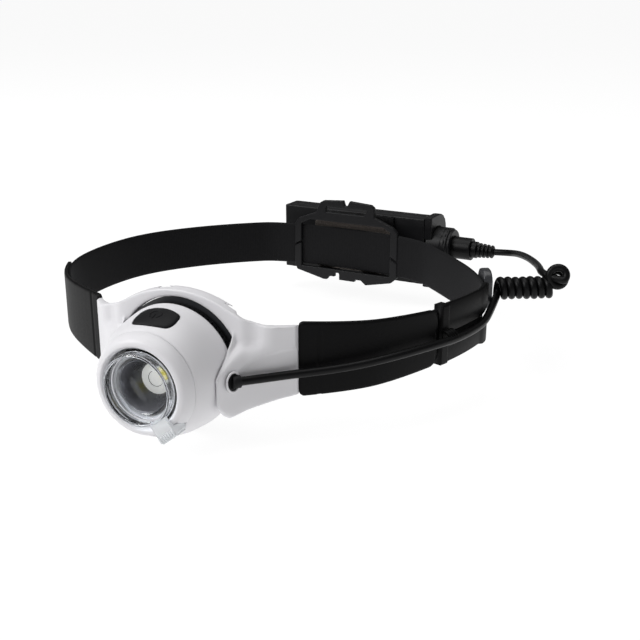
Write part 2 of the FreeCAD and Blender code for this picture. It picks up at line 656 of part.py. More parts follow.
def back_plate():
    """Grey plate between the head and the bridge, seen through the slot over the head."""
    front = "bridge_front - seal_gap - plate_thick"
    disc = turned("plate_disc", [
        ("0", front), ("plate_radius", front), ("plate_radius", front + " + plate_thick"),
        ("0", front + " + plate_thick")])
    inside = box("plate_inside", ("0 - side_flat", "30", "-14"), ("2 * side_flat", "20", "60"))
    return keep(on_lamp(common("plate_whole", [disc, inside])), "bracket_backplate")


def plate_screws():
    """Four pan-head screws that hold the back plate to the bridge."""
    heads = []
    for number, (x, z) in enumerate(((-20, -12), (20, -12), (-17, 10), (17, 10))):
        place = ("%d" % x, "front_y + bridge_front - seal_gap - plate_thick - 0.75", "lamp_z + %d" % z)
        heads.append(rod("plate_head%d" % number, "Y", "1.6", "0.7", place))
    return keep(group("plate_screw_heads", heads), "backplate_screws")


def hinge_pin():
    """Steel pin through the three hinge barrels."""
    reach = "(knuckle_half + run_gap + lug_long)"
    pin = rod("pin_rod", "X", "pin_radius", "2 * %s" % reach, ("0 - %s" % reach, "front_y + hinge_y",
                                                               "hinge_z"))
    return keep(pin, "hinge_pin")


def detent_spring():
    """Leaf spring on the back plate that clicks in the hinge barrel's steps."""
    leaf = box("spring_leaf", ("-3", "front_y + bridge_front - 0.4", "hinge_z + 3.7"), ("6", "0.3", "6.8"))
    return keep(leaf, "detent_spring")


def forehead_pad():
    """Soft pad behind the bridge that rests on the forehead."""
    start = value("bridge_front") + 3 + value("strap_gap")
    face = [lamp_point(-33, start + 0.6, 0), lamp_point(0, start, 0), lamp_point(33, start + 0.6, 0)]
    deep = start + value("pad_thick")
    rear = [lamp_point(33, deep + 3.2, 0), lamp_point(0, deep, 0), lamp_point(-33, deep + 3.2, 0)]
    pad = shaped("pad_block", smooth_prism(face, rear, Vector(0, 0, 1), -15, 32))
    return keep(pad, "forehead_pad")


def cord_grommet():
    """Rubber sleeve round the cord where it leaves the bracket."""
    start = CORD_FRONT[0]
    ahead = CORD_FRONT[1] - start
    ahead.normalize()
    ring = Part.makeCylinder(2.9, 3.2, start, ahead)
    bore = Part.makeCylinder(value("cord_thick") / 2 + 0.02, 3.2, start, ahead)
    return keep(shaped("grommet_ring", ring.cut(bore)), "cord_grommet")


# ---------------------------------------------------------------- headband

STRAP_RIGHT = [Vector(43, -94.2, 0), Vector(50.5, -87.0, 0), Vector(68.5, -77, 0), Vector(84, -58.5, 0),
               Vector(95.5, -35, 0), Vector(103.0, -12, 0), Vector(106.5, 10, 0), Vector(92, 38, 0),
               Vector(68, 65.5, 0)]
STRAP_LEFT = [Vector(-68, 84, 0), Vector(-91, 62, 0), Vector(-108.5, 36, 0), Vector(-114, 6, 0),
              Vector(-111.5, -26, 0), Vector(-98.5, -50, 0), Vector(-76, -72.5, 0), Vector(-50.5, -87.0, 0),
              Vector(-43, -94.2, 0)]
CORD_FRONT = [Vector(30.8, -117.9, -5.9), Vector(37.6, -107.6, -5.5), Vector(49.5, -95.2, -5),
              Vector(62.8, -88.4, -3.5), Vector(75.2, -80.8, -1.8), Vector(87.2, -68,
                                                                           -0.4), Vector(97.6, -52, 0.2),
              Vector(104.2, -35.5, -0.9), Vector(107.6, -19, -1.8), Vector(109.6, -4,
                                                                           -1.9), Vector(109.4, 9, 0.6)]


PANEL_RIGHT = [Vector(52.7, -85.7, 0), STRAP_RIGHT[2], STRAP_RIGHT[3], Vector(94.4, -37.6, 0)]
PANEL_LEFT = [Vector(-52.7, -85.7, 0), STRAP_LEFT[6], STRAP_LEFT[5], Vector(-106.5, -35.5, 0)]


def strap_path():
    """Plan of the whole strap, from the right arm round the back to the left arm."""
    ends = [rear_place(x, 0, 0) for x in (43, -43)]
    return STRAP_RIGHT + ends + STRAP_LEFT


def headband_strap():
    """Elastic strap, one flat band round the head."""
    half = value("strap_thick") / 2
    tall = value("strap_width") / 2
    return keep(shaped("strap_band", ribbon(strap_path(), -half, half, -tall, tall)), "headband_strap")


def side_panels():
    """Rubber panels outside the strap at both arms, tapered towards the back."""
    near = value("strap_thick") / 2 + value("strap_gap")
    far = near + value("panel_thick")
    root = value("panel_root") / 2
    tip = value("panel_tip") / 2
    for label, side, path in (("side_panel_right", 1, PANEL_RIGHT), ("side_panel_left", -1, PANEL_LEFT)):
        band = ribbon(path, side * near, side * far, -root, root)
        end = abs(path[-1].x) - 3
        top = [Vector(45, -150, root), Vector(end, -150, tip), Vector(130, -150, tip),
               Vector(130, -150, root + 9), Vector(45, -150, root + 9)]
        wedge = Part.Face(Part.makePolygon(top + top[:1])).extrude(Vector(0, 160, 0))
        if side < 0:
            wedge = wedge.mirror(Vector(0, 0, 0), Vector(1, 0, 0))
        low = wedge.mirror(Vector(0, 0, 0), Vector(0, 0, 1))
        keep(shaped(label + "_band", band.cut(wedge).cut(low)), label)


def strap_frame(share):
    """A placement on the strap: its X runs along the strap, its Y points inwards."""
    left = share
    for edge in rounded(strap_path()).OrderedEdges:
        if left <= edge.Length:
            break
        left -= edge.Length
    at = edge.getParameterByLength(left)
    ahead = edge.tangentAt(at)
    place = Placement(edge.valueAt(at), Rotation(Vector(0, 0, 1), math.degrees(math.atan2(ahead.y,
                                                                                          ahead.x))))
    return place


def front_keeper():
    """Flat ring round the strap and the panel's end, with an arch where the cord passes."""
    long = value("keeper_long")
    half = value("strap_thick") / 2 + value("strap_gap")
    out = half + value("panel_thick") + value("strap_gap")
    wall = value("keeper_wall")
    tall = value("panel_tip") / 2 + value("strap_gap")
    cover = Part.makeBox(long, half + out + 2 * wall, 2 * (tall + wall), Vector(-long / 2, -out - wall,
                                                                                -tall - wall))
    room = Part.makeBox(long, half + out, 2 * tall, Vector(-long / 2, -out, -tall))
    place = strap_frame(value("keeper_at"))
    bore = value("cord_thick") / 2 + value("strap_gap")
    centre = crossing(place)
    start = Vector(-long / 2, centre.y, centre.z)
    ahead = Vector(1, 0, 0)
    depth = -out - centre.y
    outer = Part.makeBox(long, depth, 2 * (bore + wall), start - Vector(0, 0, bore + wall))
    inner = Part.makeBox(long, depth - wall, 2 * bore, start - Vector(0, 0, bore))
    hoop = Part.makeCylinder(bore + wall, long, start, ahead).fuse(outer)
    hole = Part.makeCylinder(bore, long, start, ahead).fuse(inner)
    ring = shaped("keeper_front_ring", cover.cut(room).fuse(hoop).cut(hole))
    ring.Placement = place
    return keep(ring, "front_keeper")


def clip_point(along, out, height):
    """A point of the cord clip, from the strap's middle line at the clip."""
    place = strap_frame(value("clip_at"))
    near = value("strap_thick") / 2 + value("strap_gap")
    return place.multVec(Vector(along, -near - out, height))


def cord_front_points():
    """The route of the cord from the bracket to the end of the clip."""
    end = clip_point(-value("clip_long") / 2, value("clip_thick") / 2, value("clip_z") - 1.6)
    return CORD_FRONT + [end]


def crossing(place):
    """Where the cord's middle line passes a placement on the strap, in that placement."""
    back = place.inverse()
    route = rounded(cord_front_points()).discretize(Distance=0.2)
    return min((back.multVec(p) for p in route), key=lambda p: abs(p.x))


def rear_keeper():
    """Rubber sleeve at the right bend whose two outer lobes hold the cord between them."""
    half = value("strap_thick") / 2 + value("strap_gap")
    tall = value("strap_width") / 2 + value("strap_gap")
    wall = value("keeper_wall")
    lobe = value("lobe_thick")
    slot = value("cord_slot") / 2
    middle = -1.75
    path = [Vector(101.2, -17.2, 0), STRAP_RIGHT[5], Vector(105.6, 4.2, 0)]
    inner = ribbon(path, -half - wall, -half, -tall - wall, tall + wall)
    upper = ribbon(path, -half - wall, half + lobe, tall, tall + wall)
    lower = ribbon(path, -half - wall, half + lobe, -tall - wall, -tall)
    high = ribbon(path, half, half + lobe, middle + slot, tall + wall)
    low = ribbon(path, half, half + lobe, -tall - wall, middle - slot)
    return keep(shaped("rear_sleeve", inner.multiFuse([upper, lower, high, low]).removeSplitter()),
                "rear_keeper")


def cord_clip():
    """Upright clip outside the strap that holds the start of the coil."""
    long = value("clip_long")
    tall = value("clip_high")
    near = value("strap_thick") / 2 + value("strap_gap")
    block = Part.makeBox(long, value("clip_thick"), tall, Vector(-long / 2, -near - value("clip_thick"),
                                                                 -tall / 2))
    upright = [edge for edge in block.Edges if abs(edge.tangentAt(edge.FirstParameter).y) > 0.99]
    body = block.makeFillet(long * 0.42, upright)
    clip = shaped("clip_block", body)
    clip.Placement = strap_frame(value("clip_at"))
    clip.setExpression("Placement.Base.z", full("clip_z"))
    return keep(clip, "cord_clip")


# ---------------------------------------------------------------- buckle

def buckle_frame():
    """Flat moulded frame with a strap loop on top, slanted entry cuts and a latch tongue."""
    half = "frame_half"
    outer = [("0 - %s" % half, "13"), ("0 - %s" % half, "-12"), ("1.5 - %s" % half, "-16"), ("-14.5",
                                                                                             "-20.2"),
             ("-12.3", "-20.2"), ("-10.5", "-17.8"), ("-6.8", "-17.8"), ("-6.8", "-15.2"), ("-3.8", "-15.2"),
             ("-3.8", "-19.4"), ("6.8", "-19.4"), ("6.8", "-17.9"), ("11", "-17.9"), ("14.2", "-20.5"),
             ("%s - 4" % half, "-17"), (half, "-13.5"), (half, "14"), ("31.5", "17"), ("19.4", "21.8"),
             ("19.4", "27.4"), ("17.4", "29.2"), ("3", "30.2"), ("1.4", "27"), ("-0.2", "27"), ("-1.2",
                                                                                                "30.2"),
             ("-14.5", "29.2"), ("-17.5", "27.4"), ("-19.2", "21.8"), ("-31.5", "17")]
    depth = "frame_thick"
    plan = plate("frame_plan", "XZ_Plane", outer, depth)
    window = plate("frame_window", "XZ_Plane", [
        ("0 - window_half", "13.6"), ("-24", "16.6"), ("25", "16.6"), ("window_half", "14"),
        ("window_half", "-13.2"), ("0 - window_half", "-13.2")], "60", True)
    loop = plate("frame_loop", "XZ_Plane", [
        ("-13", "25.7"), ("14.5", "25.7"), ("12.8", "22.3"), ("-13", "22.3")], "60", True)
    left = plate("frame_cut_left", "XZ_Plane", [
        ("0 - frame_half - 2", "-2.2"), ("1 - window_half", "1.8"), ("1 - window_half", "3.2"),
        ("0 - frame_half - 2", "-0.8")], "60", True)
    right = plate("frame_cut_right", "XZ_Plane", [
        ("window_half - 1", "-1.2"), ("frame_half + 2", "-5.4"), ("frame_half + 2", "-4"),
        ("window_half - 1", "0.2")], "60", True)
    flat = cut("frame_flat", plan, [window, loop, left, right])
    bind(flat, Base_y="frame_front + frame_thick")
    tie = "case_front - holder_thick - frame_front - frame_thick - seal_gap + 0.5"
    upper = box("frame_tie_up", ("-13", "frame_front + frame_thick - 0.5", "17"), ("26", tie, "2.6"))
    lower = box("frame_tie_low", ("8", "frame_front + frame_thick - 0.5", "-17.4"), ("14", tie, "2.6"))
    other = box("frame_tie_left", ("-22", "frame_front + frame_thick - 0.5", "-17.4"), ("12", tie, "2.6"))
    return keep(on_rear(fuse("frame_whole", [flat, upper, lower, other])), "buckle_frame")


def buckle_pad():
    """Foam block behind the strap, framed by the buckle."""
    pad = box("pad_foam", ("-23.5", "strap_thick / 2 + strap_gap", "-13.8"),
              ("48", "case_front - holder_thick - strap_thick / 2 - 2 * strap_gap - 0.2", "30"))
    holder = doc.addObject("Part::Fillet", "pad_rounded")
    holder.Base = pad
    doc.recompute()
    upright = [i + 1 for i, e in enumerate(pad.Shape.Edges) if abs(e.tangentAt(e.FirstParameter).y) > 0.99]
    holder.Edges = [(i, 3.0, 3.0) for i in upright]
    return keep(on_rear(group("pad_place", [holder])), "buckle_pad")


def battery_holder():
    """Thin plate that ties the buckle to the battery case."""
    panel = box("holder_panel", ("-26", "case_front - seal_gap - holder_thick", "-18.5"), ("52",
            "holder_thick", "38.4"))
    return keep(on_rear(group("holder_place", [panel])), "battery_holder")


# ---------------------------------------------------------------- battery pack

def case_outline(inset):
    """Section of the case across its length, flat in front, rounded at the long rear edges."""
    front = "(case_front + %s)" % inset
    back = "(case_front + case_deep - %s)" % inset
    high = "(case_high / 2 - %s)" % inset
    curve = "(case_round - %s)" % inset
    points = [("0 - %s" % high, front)]
    steps = 5
    for sign in (-1, 1):
        arc = []
        for i in range(steps + 1):
            turn = "%g deg" % (90.0 * i / steps)
            side = "%d * (%s - %s + %s * cos(%s))" % (sign, high, curve, curve, turn)
            arc.append((side, "%s - %s + %s * sin(%s)" % (back, curve, curve, turn)))
        points += arc if sign < 0 else arc[::-1]
    return points + [(high, front)]


def case_block(name, inset, low, long):
    """The case section swept along its length, between two ends."""
    body = plate(name, "YZ_Plane", [(y, "%s + case_mid_z" % z) for z, y in case_outline(inset)], long)
    return bind(body, Base_x=low)


def screw_places(depth):
    """Centres of the four case screws, at a depth under the back face."""
    back = "case_front + case_deep - (%s)" % depth
    middle = "case_left + case_long / 2"
    corners = (("-", "+"), ("-", "-"), ("+", "+"), ("+", "-"))
    return [(middle + " %s screw_reach" % a, back, "case_mid_z %s screw_rise" % b) for a, b in corners]


def battery_case():
    """Two moulded half shells, flat in front, with a gasket between them."""
    split = "case_front + case_split"
    sizes = ("case_long + 2", "case_deep + 20", "case_high + 4")
    low = "case_mid_z - case_high / 2 - 2"
    wall = "case_wall"

    def halves(name):
        whole = case_block(name + "_out", "0", "case_left", "case_long")
        hollow = case_block(name + "_in", wall, "case_left + case_wall", "case_long - 2 * case_wall")
        return cut(name + "_box", whole, [hollow])

    def port_hole(name):
        return rod(name + "_port", "X", "6.8", "20", ("case_left + case_long - 10", "plug_y", "plug_z"))

    ahead = box("case_ahead", ("case_left - 1", split + " - 20", low), (sizes[0], "20 - seal_gap", sizes[2]))
    behind = box("case_behind", ("case_left - 1", split + " + seal_gap", low), sizes)
    front = common("case_front_half", [halves("front"), ahead])
    keep(on_rear(cut("case_front_open", front, [port_hole("front")])), "battery_case_front")
    rear = common("case_rear_half", [halves("rear"), behind])
    sinks = []
    for number, place in enumerate(screw_places("sink_deep")):
        sinks.append(rod("case_sink%d" % number, "Y", "1.9", "sink_deep + 1", place))
    keep(on_rear(cut("case_rear_open", rear, [port_hole("rear")] + sinks)), "battery_case_rear")


def end_cap():
    """Raised rim at the socket end of the case, round the cord connector."""
    reach = "case_left + case_long + seal_gap"
    block = case_block("cap_block", "-1.4", reach, "4.6")
    hole = rod("cap_hole", "X", "collar_radius + run_gap", "20", (reach, "plug_y", "plug_z"))
    room = box("cap_front", (reach + " - 1", "case_front - 5", "case_mid_z - 30"), ("8", "5", "60"))
    return keep(on_rear(cut("cap_whole", block, [hole, room])), "end_cap")


def cells():
    """Two lithium cells side by side, one above the other, with their contacts and board."""
    start = "case_left + case_wall + 4"
    middle = "case_front + case_deep - case_wall - cell_radius - 1.6"
    for label, sign in (("cell_upper", 1), ("cell_lower", -1)):
        height = "case_mid_z + %d * (cell_radius + 0.4)" % sign
        can = rod(label + "_can", "X", "cell_radius", "cell_long", (start, middle, height))
        tip = rod(label + "_tip", "X", "2.8", "1.2", (start + " + cell_long - 0.2", middle, height))
        keep(on_rear(fuse(label + "_whole", [can, tip])), label)
    plates = []
    for number, (place, high) in enumerate(((start + " - 1.2", "0"), (start + " + cell_long + 1.4", "0"))):
        low = "case_mid_z - 2 * cell_radius"
        plates.append(box("contact%d" % number, (place, middle + " - 5", low), ("0.5", "10",
                                                                                "4 * cell_radius")))
    keep(on_rear(group("contact_pair", plates)), "cell_contacts")
    board = box("guard_box", (start + " + cell_long + 3", "case_front + 9", "case_mid_z - 14"), ("9",
            "1.6", "26"))
    keep(on_rear(group("guard_place", [board])), "battery_board")


def case_screws():
    """Four screw heads let into the back of the battery case."""
    heads = []
    for number, place in enumerate(screw_places("sink_deep - 0.05")):
        heads.append(rod("case_head%d" % number, "Y", "1.7", "head_thick", place))
    return keep(on_rear(group("case_heads", heads)), "case_screws")


# ---------------------------------------------------------------- connector and cord

def connector():
    """Socket on the case, turning lock collar, plug body and ribbed strain relief, on one axis."""
    end = "case_left + case_long"
    face = end + " + 4.8"

    def at(offset):
        return (offset, "plug_y", "plug_z")

    stub = rod("socket_stub", "X", "6.6", "8.8", at(end + " - 4"))
    mouth = rod("socket_mouth", "X", "5", "8", at(end + " + 2"))
    keep(on_rear(cut("socket_whole", stub, [mouth])), "power_socket")
    sleeve = rod("collar_sleeve", "X", "collar_radius", "collar_long", at(face + " - 3.6"))
    lip = rod("collar_lip", "X", "collar_radius - 1", "1.6", at(face + " - 3.6 + collar_long"))
    bore = rod("collar_bore", "X", "plug_radius + run_gap", "40", at(face + " - 10"))
    rings = []
    for number in range(2):
        place = at(face + " - 3.6 + collar_long - %s" % (1.4 + 2.2 * number))
        rings.append(cut("collar_mark%d" % number, rod("mark_out%d" % number, "X", "collar_radius + 1",
                                                       "0.5", place),
                         [rod("mark_in%d" % number, "X", "collar_radius - 0.4", "0.5", place)]))
    keep(on_rear(cut("collar_whole", fuse("collar_solid", [sleeve, lip]), [bore] + rings)), "lock_collar")
    tip = end + " + 4.9"
    body = rod("plug_body_rod", "X", "plug_radius", "collar_long - 2 + plug_long", at(tip))
    nose = rod("plug_nose", "X", "4.9", "2.6", at(end + " + 2.4"))
    keep(on_rear(fuse("plug_whole", [body, nose])), "plug_body")
    base = "case_left + case_long + 4.9 + collar_long - 2 + plug_long"
    ribs = []
    for number in range(4):
        place = at(base + " + 4.6 + %s" % (2.4 * number))
        ribs.append(rod("relief_rib%d" % number, "X", "%s" % (4.4 - 0.2 * number), "1.1", place))
    core = rod("relief_core", "X", "2.9", "relief_long", at(base))
    heel = rod("relief_heel", "X", "4.9", "3.4", at(base))
    keep(on_rear(fuse("relief_whole", [core, heel] + ribs)), "strain_relief")


def cord_parts():
    """The free cord: the run along the band, the coil and the lead to the plug."""
    thick = value("cord_thick")
    keep(shaped("front_run", tube(cord_front_points(), thick, "cord front run")), "cord_front_run")
    coil = [clip_point(0, value("clip_thick"), value("clip_z") - 0.2), Vector(131.8, 39.8, 6.4),
            Vector(137.2, 27.2, 16.4)]
    keep(shaped("coil_body", tube(coil, value("coil_thick"), "cord coil")), "cord_coil")
    out = value("case_left + case_long + 4.9 + collar_long - 2 + plug_long + relief_long")
    start = rear_place(out, value("plug_y"), value("plug_z"))
    lead = [start, Vector(98.6, 106.4, 5.2), Vector(108.4, 96.6, 6.8), Vector(116.2, 82.5, 8.2),
            Vector(121.8, 66.5, 9.8), Vector(126.2, 50.8, 12.6), Vector(130.4, 35.6, 15.8)]
    keep(shaped("lead_run", tube(lead, thick, "cord lead")), "cord_lead")


def build():
    """Makes every piece, checks the document and writes one STEP file for each piece."""
    front_bezel()
    focus_ring()
    lens_carrier()
    tir_lens()
    front_seal()
    head_shell()
    power_button()
    switch_parts()
    light_parts()
    heat_sink()
    rear_gasket()
    rear_cover()
    cover_screws()
    bracket_frame()
    back_plate()
    plate_screws()
    hinge_pin()
    detent_spring()
    forehead_pad()
    cord_grommet()
    headband_strap()
    side_panels()
    front_keeper()
    rear_keeper()
    cord_clip()
    buckle_frame()
    buckle_pad()
    battery_holder()
    battery_case()
    end_cap()
    cells()
    case_screws()
    connector()
    cord_parts()
    doc.recompute()
    failed = [o.Name for o in doc.Objects if "Invalid" in o.State or "Error" in o.State]
    broken = [o.Label for o in nodes if o.Shape.isNull() or not o.Shape.isValid() or o.Shape.Volume <= 0]
    if failed or broken:
        raise RuntimeError("failed objects %s, broken shapes %s" % (failed, broken))
    os.makedirs("parts", exist_ok=True)
    for piece in nodes:
        piece.Shape.exportStep(os.path.join("parts", piece.Label + ".step"))
    print(len(nodes), "pieces written")


build()
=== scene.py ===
"""Headband work light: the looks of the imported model, as a Blender add-on that is run as a script."""

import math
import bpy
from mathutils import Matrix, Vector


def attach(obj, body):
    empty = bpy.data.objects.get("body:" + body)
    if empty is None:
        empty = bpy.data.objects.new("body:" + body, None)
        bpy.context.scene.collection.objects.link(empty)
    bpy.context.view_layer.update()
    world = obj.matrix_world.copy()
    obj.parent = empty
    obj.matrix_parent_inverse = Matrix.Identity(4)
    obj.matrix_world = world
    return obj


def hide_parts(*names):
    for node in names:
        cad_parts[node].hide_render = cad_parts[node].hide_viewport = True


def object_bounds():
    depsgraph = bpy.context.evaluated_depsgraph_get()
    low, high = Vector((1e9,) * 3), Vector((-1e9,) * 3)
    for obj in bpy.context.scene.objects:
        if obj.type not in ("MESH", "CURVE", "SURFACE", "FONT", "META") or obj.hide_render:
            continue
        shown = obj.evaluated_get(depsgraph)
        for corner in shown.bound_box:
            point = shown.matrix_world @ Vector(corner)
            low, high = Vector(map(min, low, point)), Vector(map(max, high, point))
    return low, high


bl_info = {
    "name": "Headband work light",
    "version": (1, 0, 0),
    "blender": (4, 5, 0),
    "location": "3D View > Sidebar > Work light",
    "description": "Builds the visible pieces, materials, stage and camera of a headband work light",
    "category": "Add Mesh",
}

import bmesh
import bpy
from mathutils import Matrix, Vector

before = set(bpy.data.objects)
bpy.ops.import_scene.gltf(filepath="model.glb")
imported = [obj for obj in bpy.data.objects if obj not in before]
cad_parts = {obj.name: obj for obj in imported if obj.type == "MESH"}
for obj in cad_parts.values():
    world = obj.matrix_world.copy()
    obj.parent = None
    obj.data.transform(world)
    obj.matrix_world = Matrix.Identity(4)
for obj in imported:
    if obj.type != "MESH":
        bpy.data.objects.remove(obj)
CAD_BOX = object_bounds()
MM = 0.001

# ---- places shared with the CAD model, in millimetres

FRONT_Y = -140.0
LAMP_Z = -4.0
SIDE_FLAT = 26.6
STRAP_THICK = 1.6
STRAP_TALL = 25.0
CORD_THICK = 3.8

STRAP_ROUTE = [
    (43, -94.2), (50.5, -87), (68.5, -77), (84, -58.5), (95.5, -35), (103, -12), (106.5, 10), (92, 38),
    (68, 65.5), (41.84, 92.45), (-43.84, 99.95), (-68, 84), (-91, 62), (-108.5, 36), (-114, 6),
    (-111.5, -26), (-98.5, -50), (-76, -72.5), (-50.5, -87), (-43, -94.2)]
PANEL_RIGHT = [(48.9, -87.9), (68.5, -77), (84, -58.5), (94.4, -37.6)]
PANEL_LEFT = [(-48.9, -87.9), (-76, -72.5), (-98.5, -50), (-109.3, -29.5)]
CORD_RUN = [
    (31.9, -115.4, -3.9), (37.8, -107.7, -4.6), (49.5, -95.2, -5), (62.8, -88.4, -3.5), (75.2, -80.8, -1.8),
    (87.2, -68, -0.4), (97.6, -52, 0.2), (104.2, -35.5, -0.9), (107.6, -19, -1.8), (109.6, -4, -1.9),
    (109.4, 9, 0.6)]
COIL_START = Vector((105.4, 28.43, 5.8))
COIL_WAY = Vector((0.918, 0.395, 0.021)).normalized()
COIL_TURNS = 7.05
COIL_RADIUS = 3.95
COIL_LEAD_IN = 2.1
LOOP_NEAR = Vector((134.4, 43.0, 9.4))
LOOP_FAR = Vector((136.3, 36.6, 14.4))
LOOP_TURNS = 1.72
LOOP_TURN_START = 205
LOOP_RADIUS = 4.25
CORD_LEAD = [
    (127.2, 39.5, 13.4), (123.4, 55.5, 12.2), (114, 77.5, 10.2), (104.5, 95.5, 7.6), (96.5, 107.4, 4.6),
    (86.4, 109.63, 3.5)]

FOCAL_LENGTH = 56.0
CAMERA_AT = Vector((215.24, -453.72, 151.17))
CAMERA_AHEAD = Vector((-0.37212, 0.87253, -0.31658))
CAMERA_UP = Vector((-0.12419, 0.29120, 0.94857))
LOOP_RIGHT = CAMERA_AHEAD.cross(CAMERA_UP).normalized()
LOOP_UP = CAMERA_UP


# ---- sizes and colours that a user may change

class WorkLightSizes(bpy.types.PropertyGroup):
    """Sizes of the woven strap and of the cord's coil."""

    weave: bpy.props.FloatProperty(
        name="Weave", description="Spacing of the ribs woven into the strap", default=1.1 * MM,
        min=0.3 * MM, max=4 * MM, unit="LENGTH")
    coil_pitch: bpy.props.FloatProperty(
        name="Coil pitch", description="Distance from one turn of the cord's coil to the next",
        default=3.8 * MM, min=3 * MM, max=8 * MM, unit="LENGTH")


def srgb(text):
    """A colour from its sRGB hex value, as linear red, green, blue and alpha."""
    parts = [int(text[i:i + 2], 16) / 255 for i in (1, 3, 5)]
    linear = [c / 12.92 if c <= 0.04045 else ((c + 0.055) / 1.055) ** 2.4 for c in parts]
    return (*linear, 1.0)


def colour_setting(name, description, text):
    """A colour that a user may change, starting from its sRGB hex value."""
    return bpy.props.FloatVectorProperty(name=name, description=description, subtype="COLOR", size=4,
                                         min=0, max=1, default=srgb(text))


class WorkLightColours(bpy.types.PropertyGroup):
    """Colours of the main materials."""

    shell: colour_setting("Shell", "Moulded ABS of the head and bracket", "#DFDEE1")
    strap: colour_setting("Strap", "Elastic of the strap", "#101012")
    panel: colour_setting("Side panel", "Rubber of the side panels", "#070708")
    case: colour_setting("Case", "Moulded nylon of the case and buckle", "#101012")


# ---- materials

def node(tree, kind, inputs=None, **settings):
    """Adds one node with its settings; an input is a value, or the socket that it is linked from."""
    made = tree.nodes.new(kind)
    for key, setting in settings.items():
        setattr(made, key, setting)
    for key, given in (inputs or {}).items():
        if isinstance(given, bpy.types.NodeSocket):
            tree.links.new(given, made.inputs[key])
        else:
            made.inputs[key].default_value = given
    return made


def surface(name, colour, **sockets):
    """A new material with one Principled shader; socket names have _ for a space."""
    made = bpy.data.materials.new(name)
    made.use_nodes = True
    tree = made.node_tree
    tree.nodes.clear()
    shader = node(tree, "ShaderNodeBsdfPrincipled", {"Base Color": colour})
    for key, number in sockets.items():
        shader.inputs[key.replace("_", " ")].default_value = number
    out = node(tree, "ShaderNodeOutputMaterial")
    tree.links.new(shader.outputs["BSDF"], out.inputs["Surface"])
    return made, tree, shader


def on_object(tree):
    """The object's own coordinates, which the textures lie on."""
    return node(tree, "ShaderNodeTexCoord").outputs["Object"]


def noise(tree, where, size_mm, detail):
    """The height of a noise texture with features of that size."""
    return node(tree, "ShaderNodeTexNoise", {"Vector": where, "Scale": 1 / (size_mm * MM),
                                             "Detail": detail}).outputs["Fac"]


def bump(tree, shader, height, strength, depth_mm):
    """Raises and lowers the shader's surface by a height socket."""
    made = node(tree, "ShaderNodeBump", {"Height": height, "Strength": strength, "Distance": depth_mm * MM})
    tree.links.new(made.outputs["Normal"], shader.inputs["Normal"])


def tint(tree, shader, share, colour, low, high):
    """Base colour that runs between two shades of a colour by a share socket."""
    ends = [tuple(min(1.0, c * shade) for c in colour[:3]) + (1.0,) for shade in (low, high)]
    mix = node(tree, "ShaderNodeMix", {0: share, 6: ends[0], 7: ends[1]}, data_type="RGBA")
    tree.links.new(mix.outputs[2], shader.inputs["Base Color"])


def glow(shader, colour, strength):
    """Light that the surface gives off by itself."""
    shader.inputs["Emission Color"].default_value = colour
    shader.inputs["Emission Strength"].default_value = strength


def grained(name, colour, size_mm, depth_mm, shade, rough, spread=0.06, **sockets):
    """Material with the even grain of a moulded or cast surface, also in its colour and roughness."""
    made, tree, shader = surface(name, colour, **sockets)
    where = on_object(tree)
    fine = noise(tree, where, size_mm, 3.0)
    wide = noise(tree, where, 28, 2.0)
    bump(tree, shader, fine, 0.6, depth_mm)
    tint(tree, shader, wide, colour, 1 - shade, 1 + shade)
    span = node(tree, "ShaderNodeMapRange", {"Value": fine, "To Min": rough - spread,
                                             "To Max": rough + spread})
    tree.links.new(span.outputs["Result"], shader.inputs["Roughness"])
    return made, shader


def chosen(key):
    """A colour from the user's settings."""
    return tuple(getattr(bpy.context.scene.work_light_colours, key))


def moulded_abs():
    """ABS moulded in an etched tool: satin white that softens highlights, with faint greys."""
    return grained("moulded_abs_white", chosen("shell"), 0.35, 0.02, 0.03, 0.42, IOR=1.52,
                   Subsurface_Weight=0.04, Subsurface_Scale=1.0, Subsurface_Radius=(0.004, 0.004, 0.004))[0]


def polished_polycarbonate():
    """Polycarbonate from a polished tool: clear, with bright edges and a trace of grey."""
    made, tree, shader = surface("polished_polycarbonate", srgb("#F4F6F8"), Roughness=0.03, IOR=1.585,
                                 Transmission_Weight=1.0)
    bump(tree, shader, noise(tree, on_object(tree), 3, 1.0), 0.01, 0.05)
    path = node(tree, "ShaderNodeLightPath")
    clear = node(tree, "ShaderNodeBsdfTransparent", {"Color": srgb("#F2F4F6")})
    mix = node(tree, "ShaderNodeMixShader", {0: path.outputs["Is Shadow Ray"], 1: shader.outputs["BSDF"],
                                             2: clear.outputs["BSDF"]})
    out = next(n for n in tree.nodes if n.type == "OUTPUT_MATERIAL")
    tree.links.new(mix.outputs["Shader"], out.inputs["Surface"])
    return made


def frosted_polycarbonate():
    """Polycarbonate from a grained tool: milky, with a painted glow that makes its ribs soft and bright."""
    colour = srgb("#F3F5F7")
    made, shader = grained("frosted_polycarbonate", colour, 3, 0.01, 0.02, 0.2, IOR=1.585,
                           Transmission_Weight=0.5)
    # Painted glow: the lever gives off a faint light of its own, though it is no lamp.
    glow(shader, colour, 0.06)
    return made


def lens_wall_painted_reflection():
    """Painted reflection of the lens wall that reflects inwards: a deep grey mirror sheet with painted streaks
    of light.
    """
    # A grey sheet that paints the dark reflection in the lens wall; its wide shifts of tone paint streaks of
    # light.
    return grained("inner_reflecting_wall", srgb("#77787D"), 2.5, 0.02, 0.5, 0.16, Metallic=0.5)[0]


def moulded_nylon():
    """Glass-filled nylon moulded in an etched tool: dull black with a fine speckle of highlights."""
    return grained("moulded_nylon_black", chosen("case"), 0.4, 0.05, 0.2, 0.44, spread=0.1, IOR=1.53,
                   Specular_IOR_Level=0.2)[0]


def grey_acetal():
    """Acetal moulded in a smooth tool: dark grey, waxy and a little glossy."""
    return grained("moulded_acetal_grey", srgb("#343538"), 0.8, 0.02, 0.06, 0.3, IOR=1.48)[0]


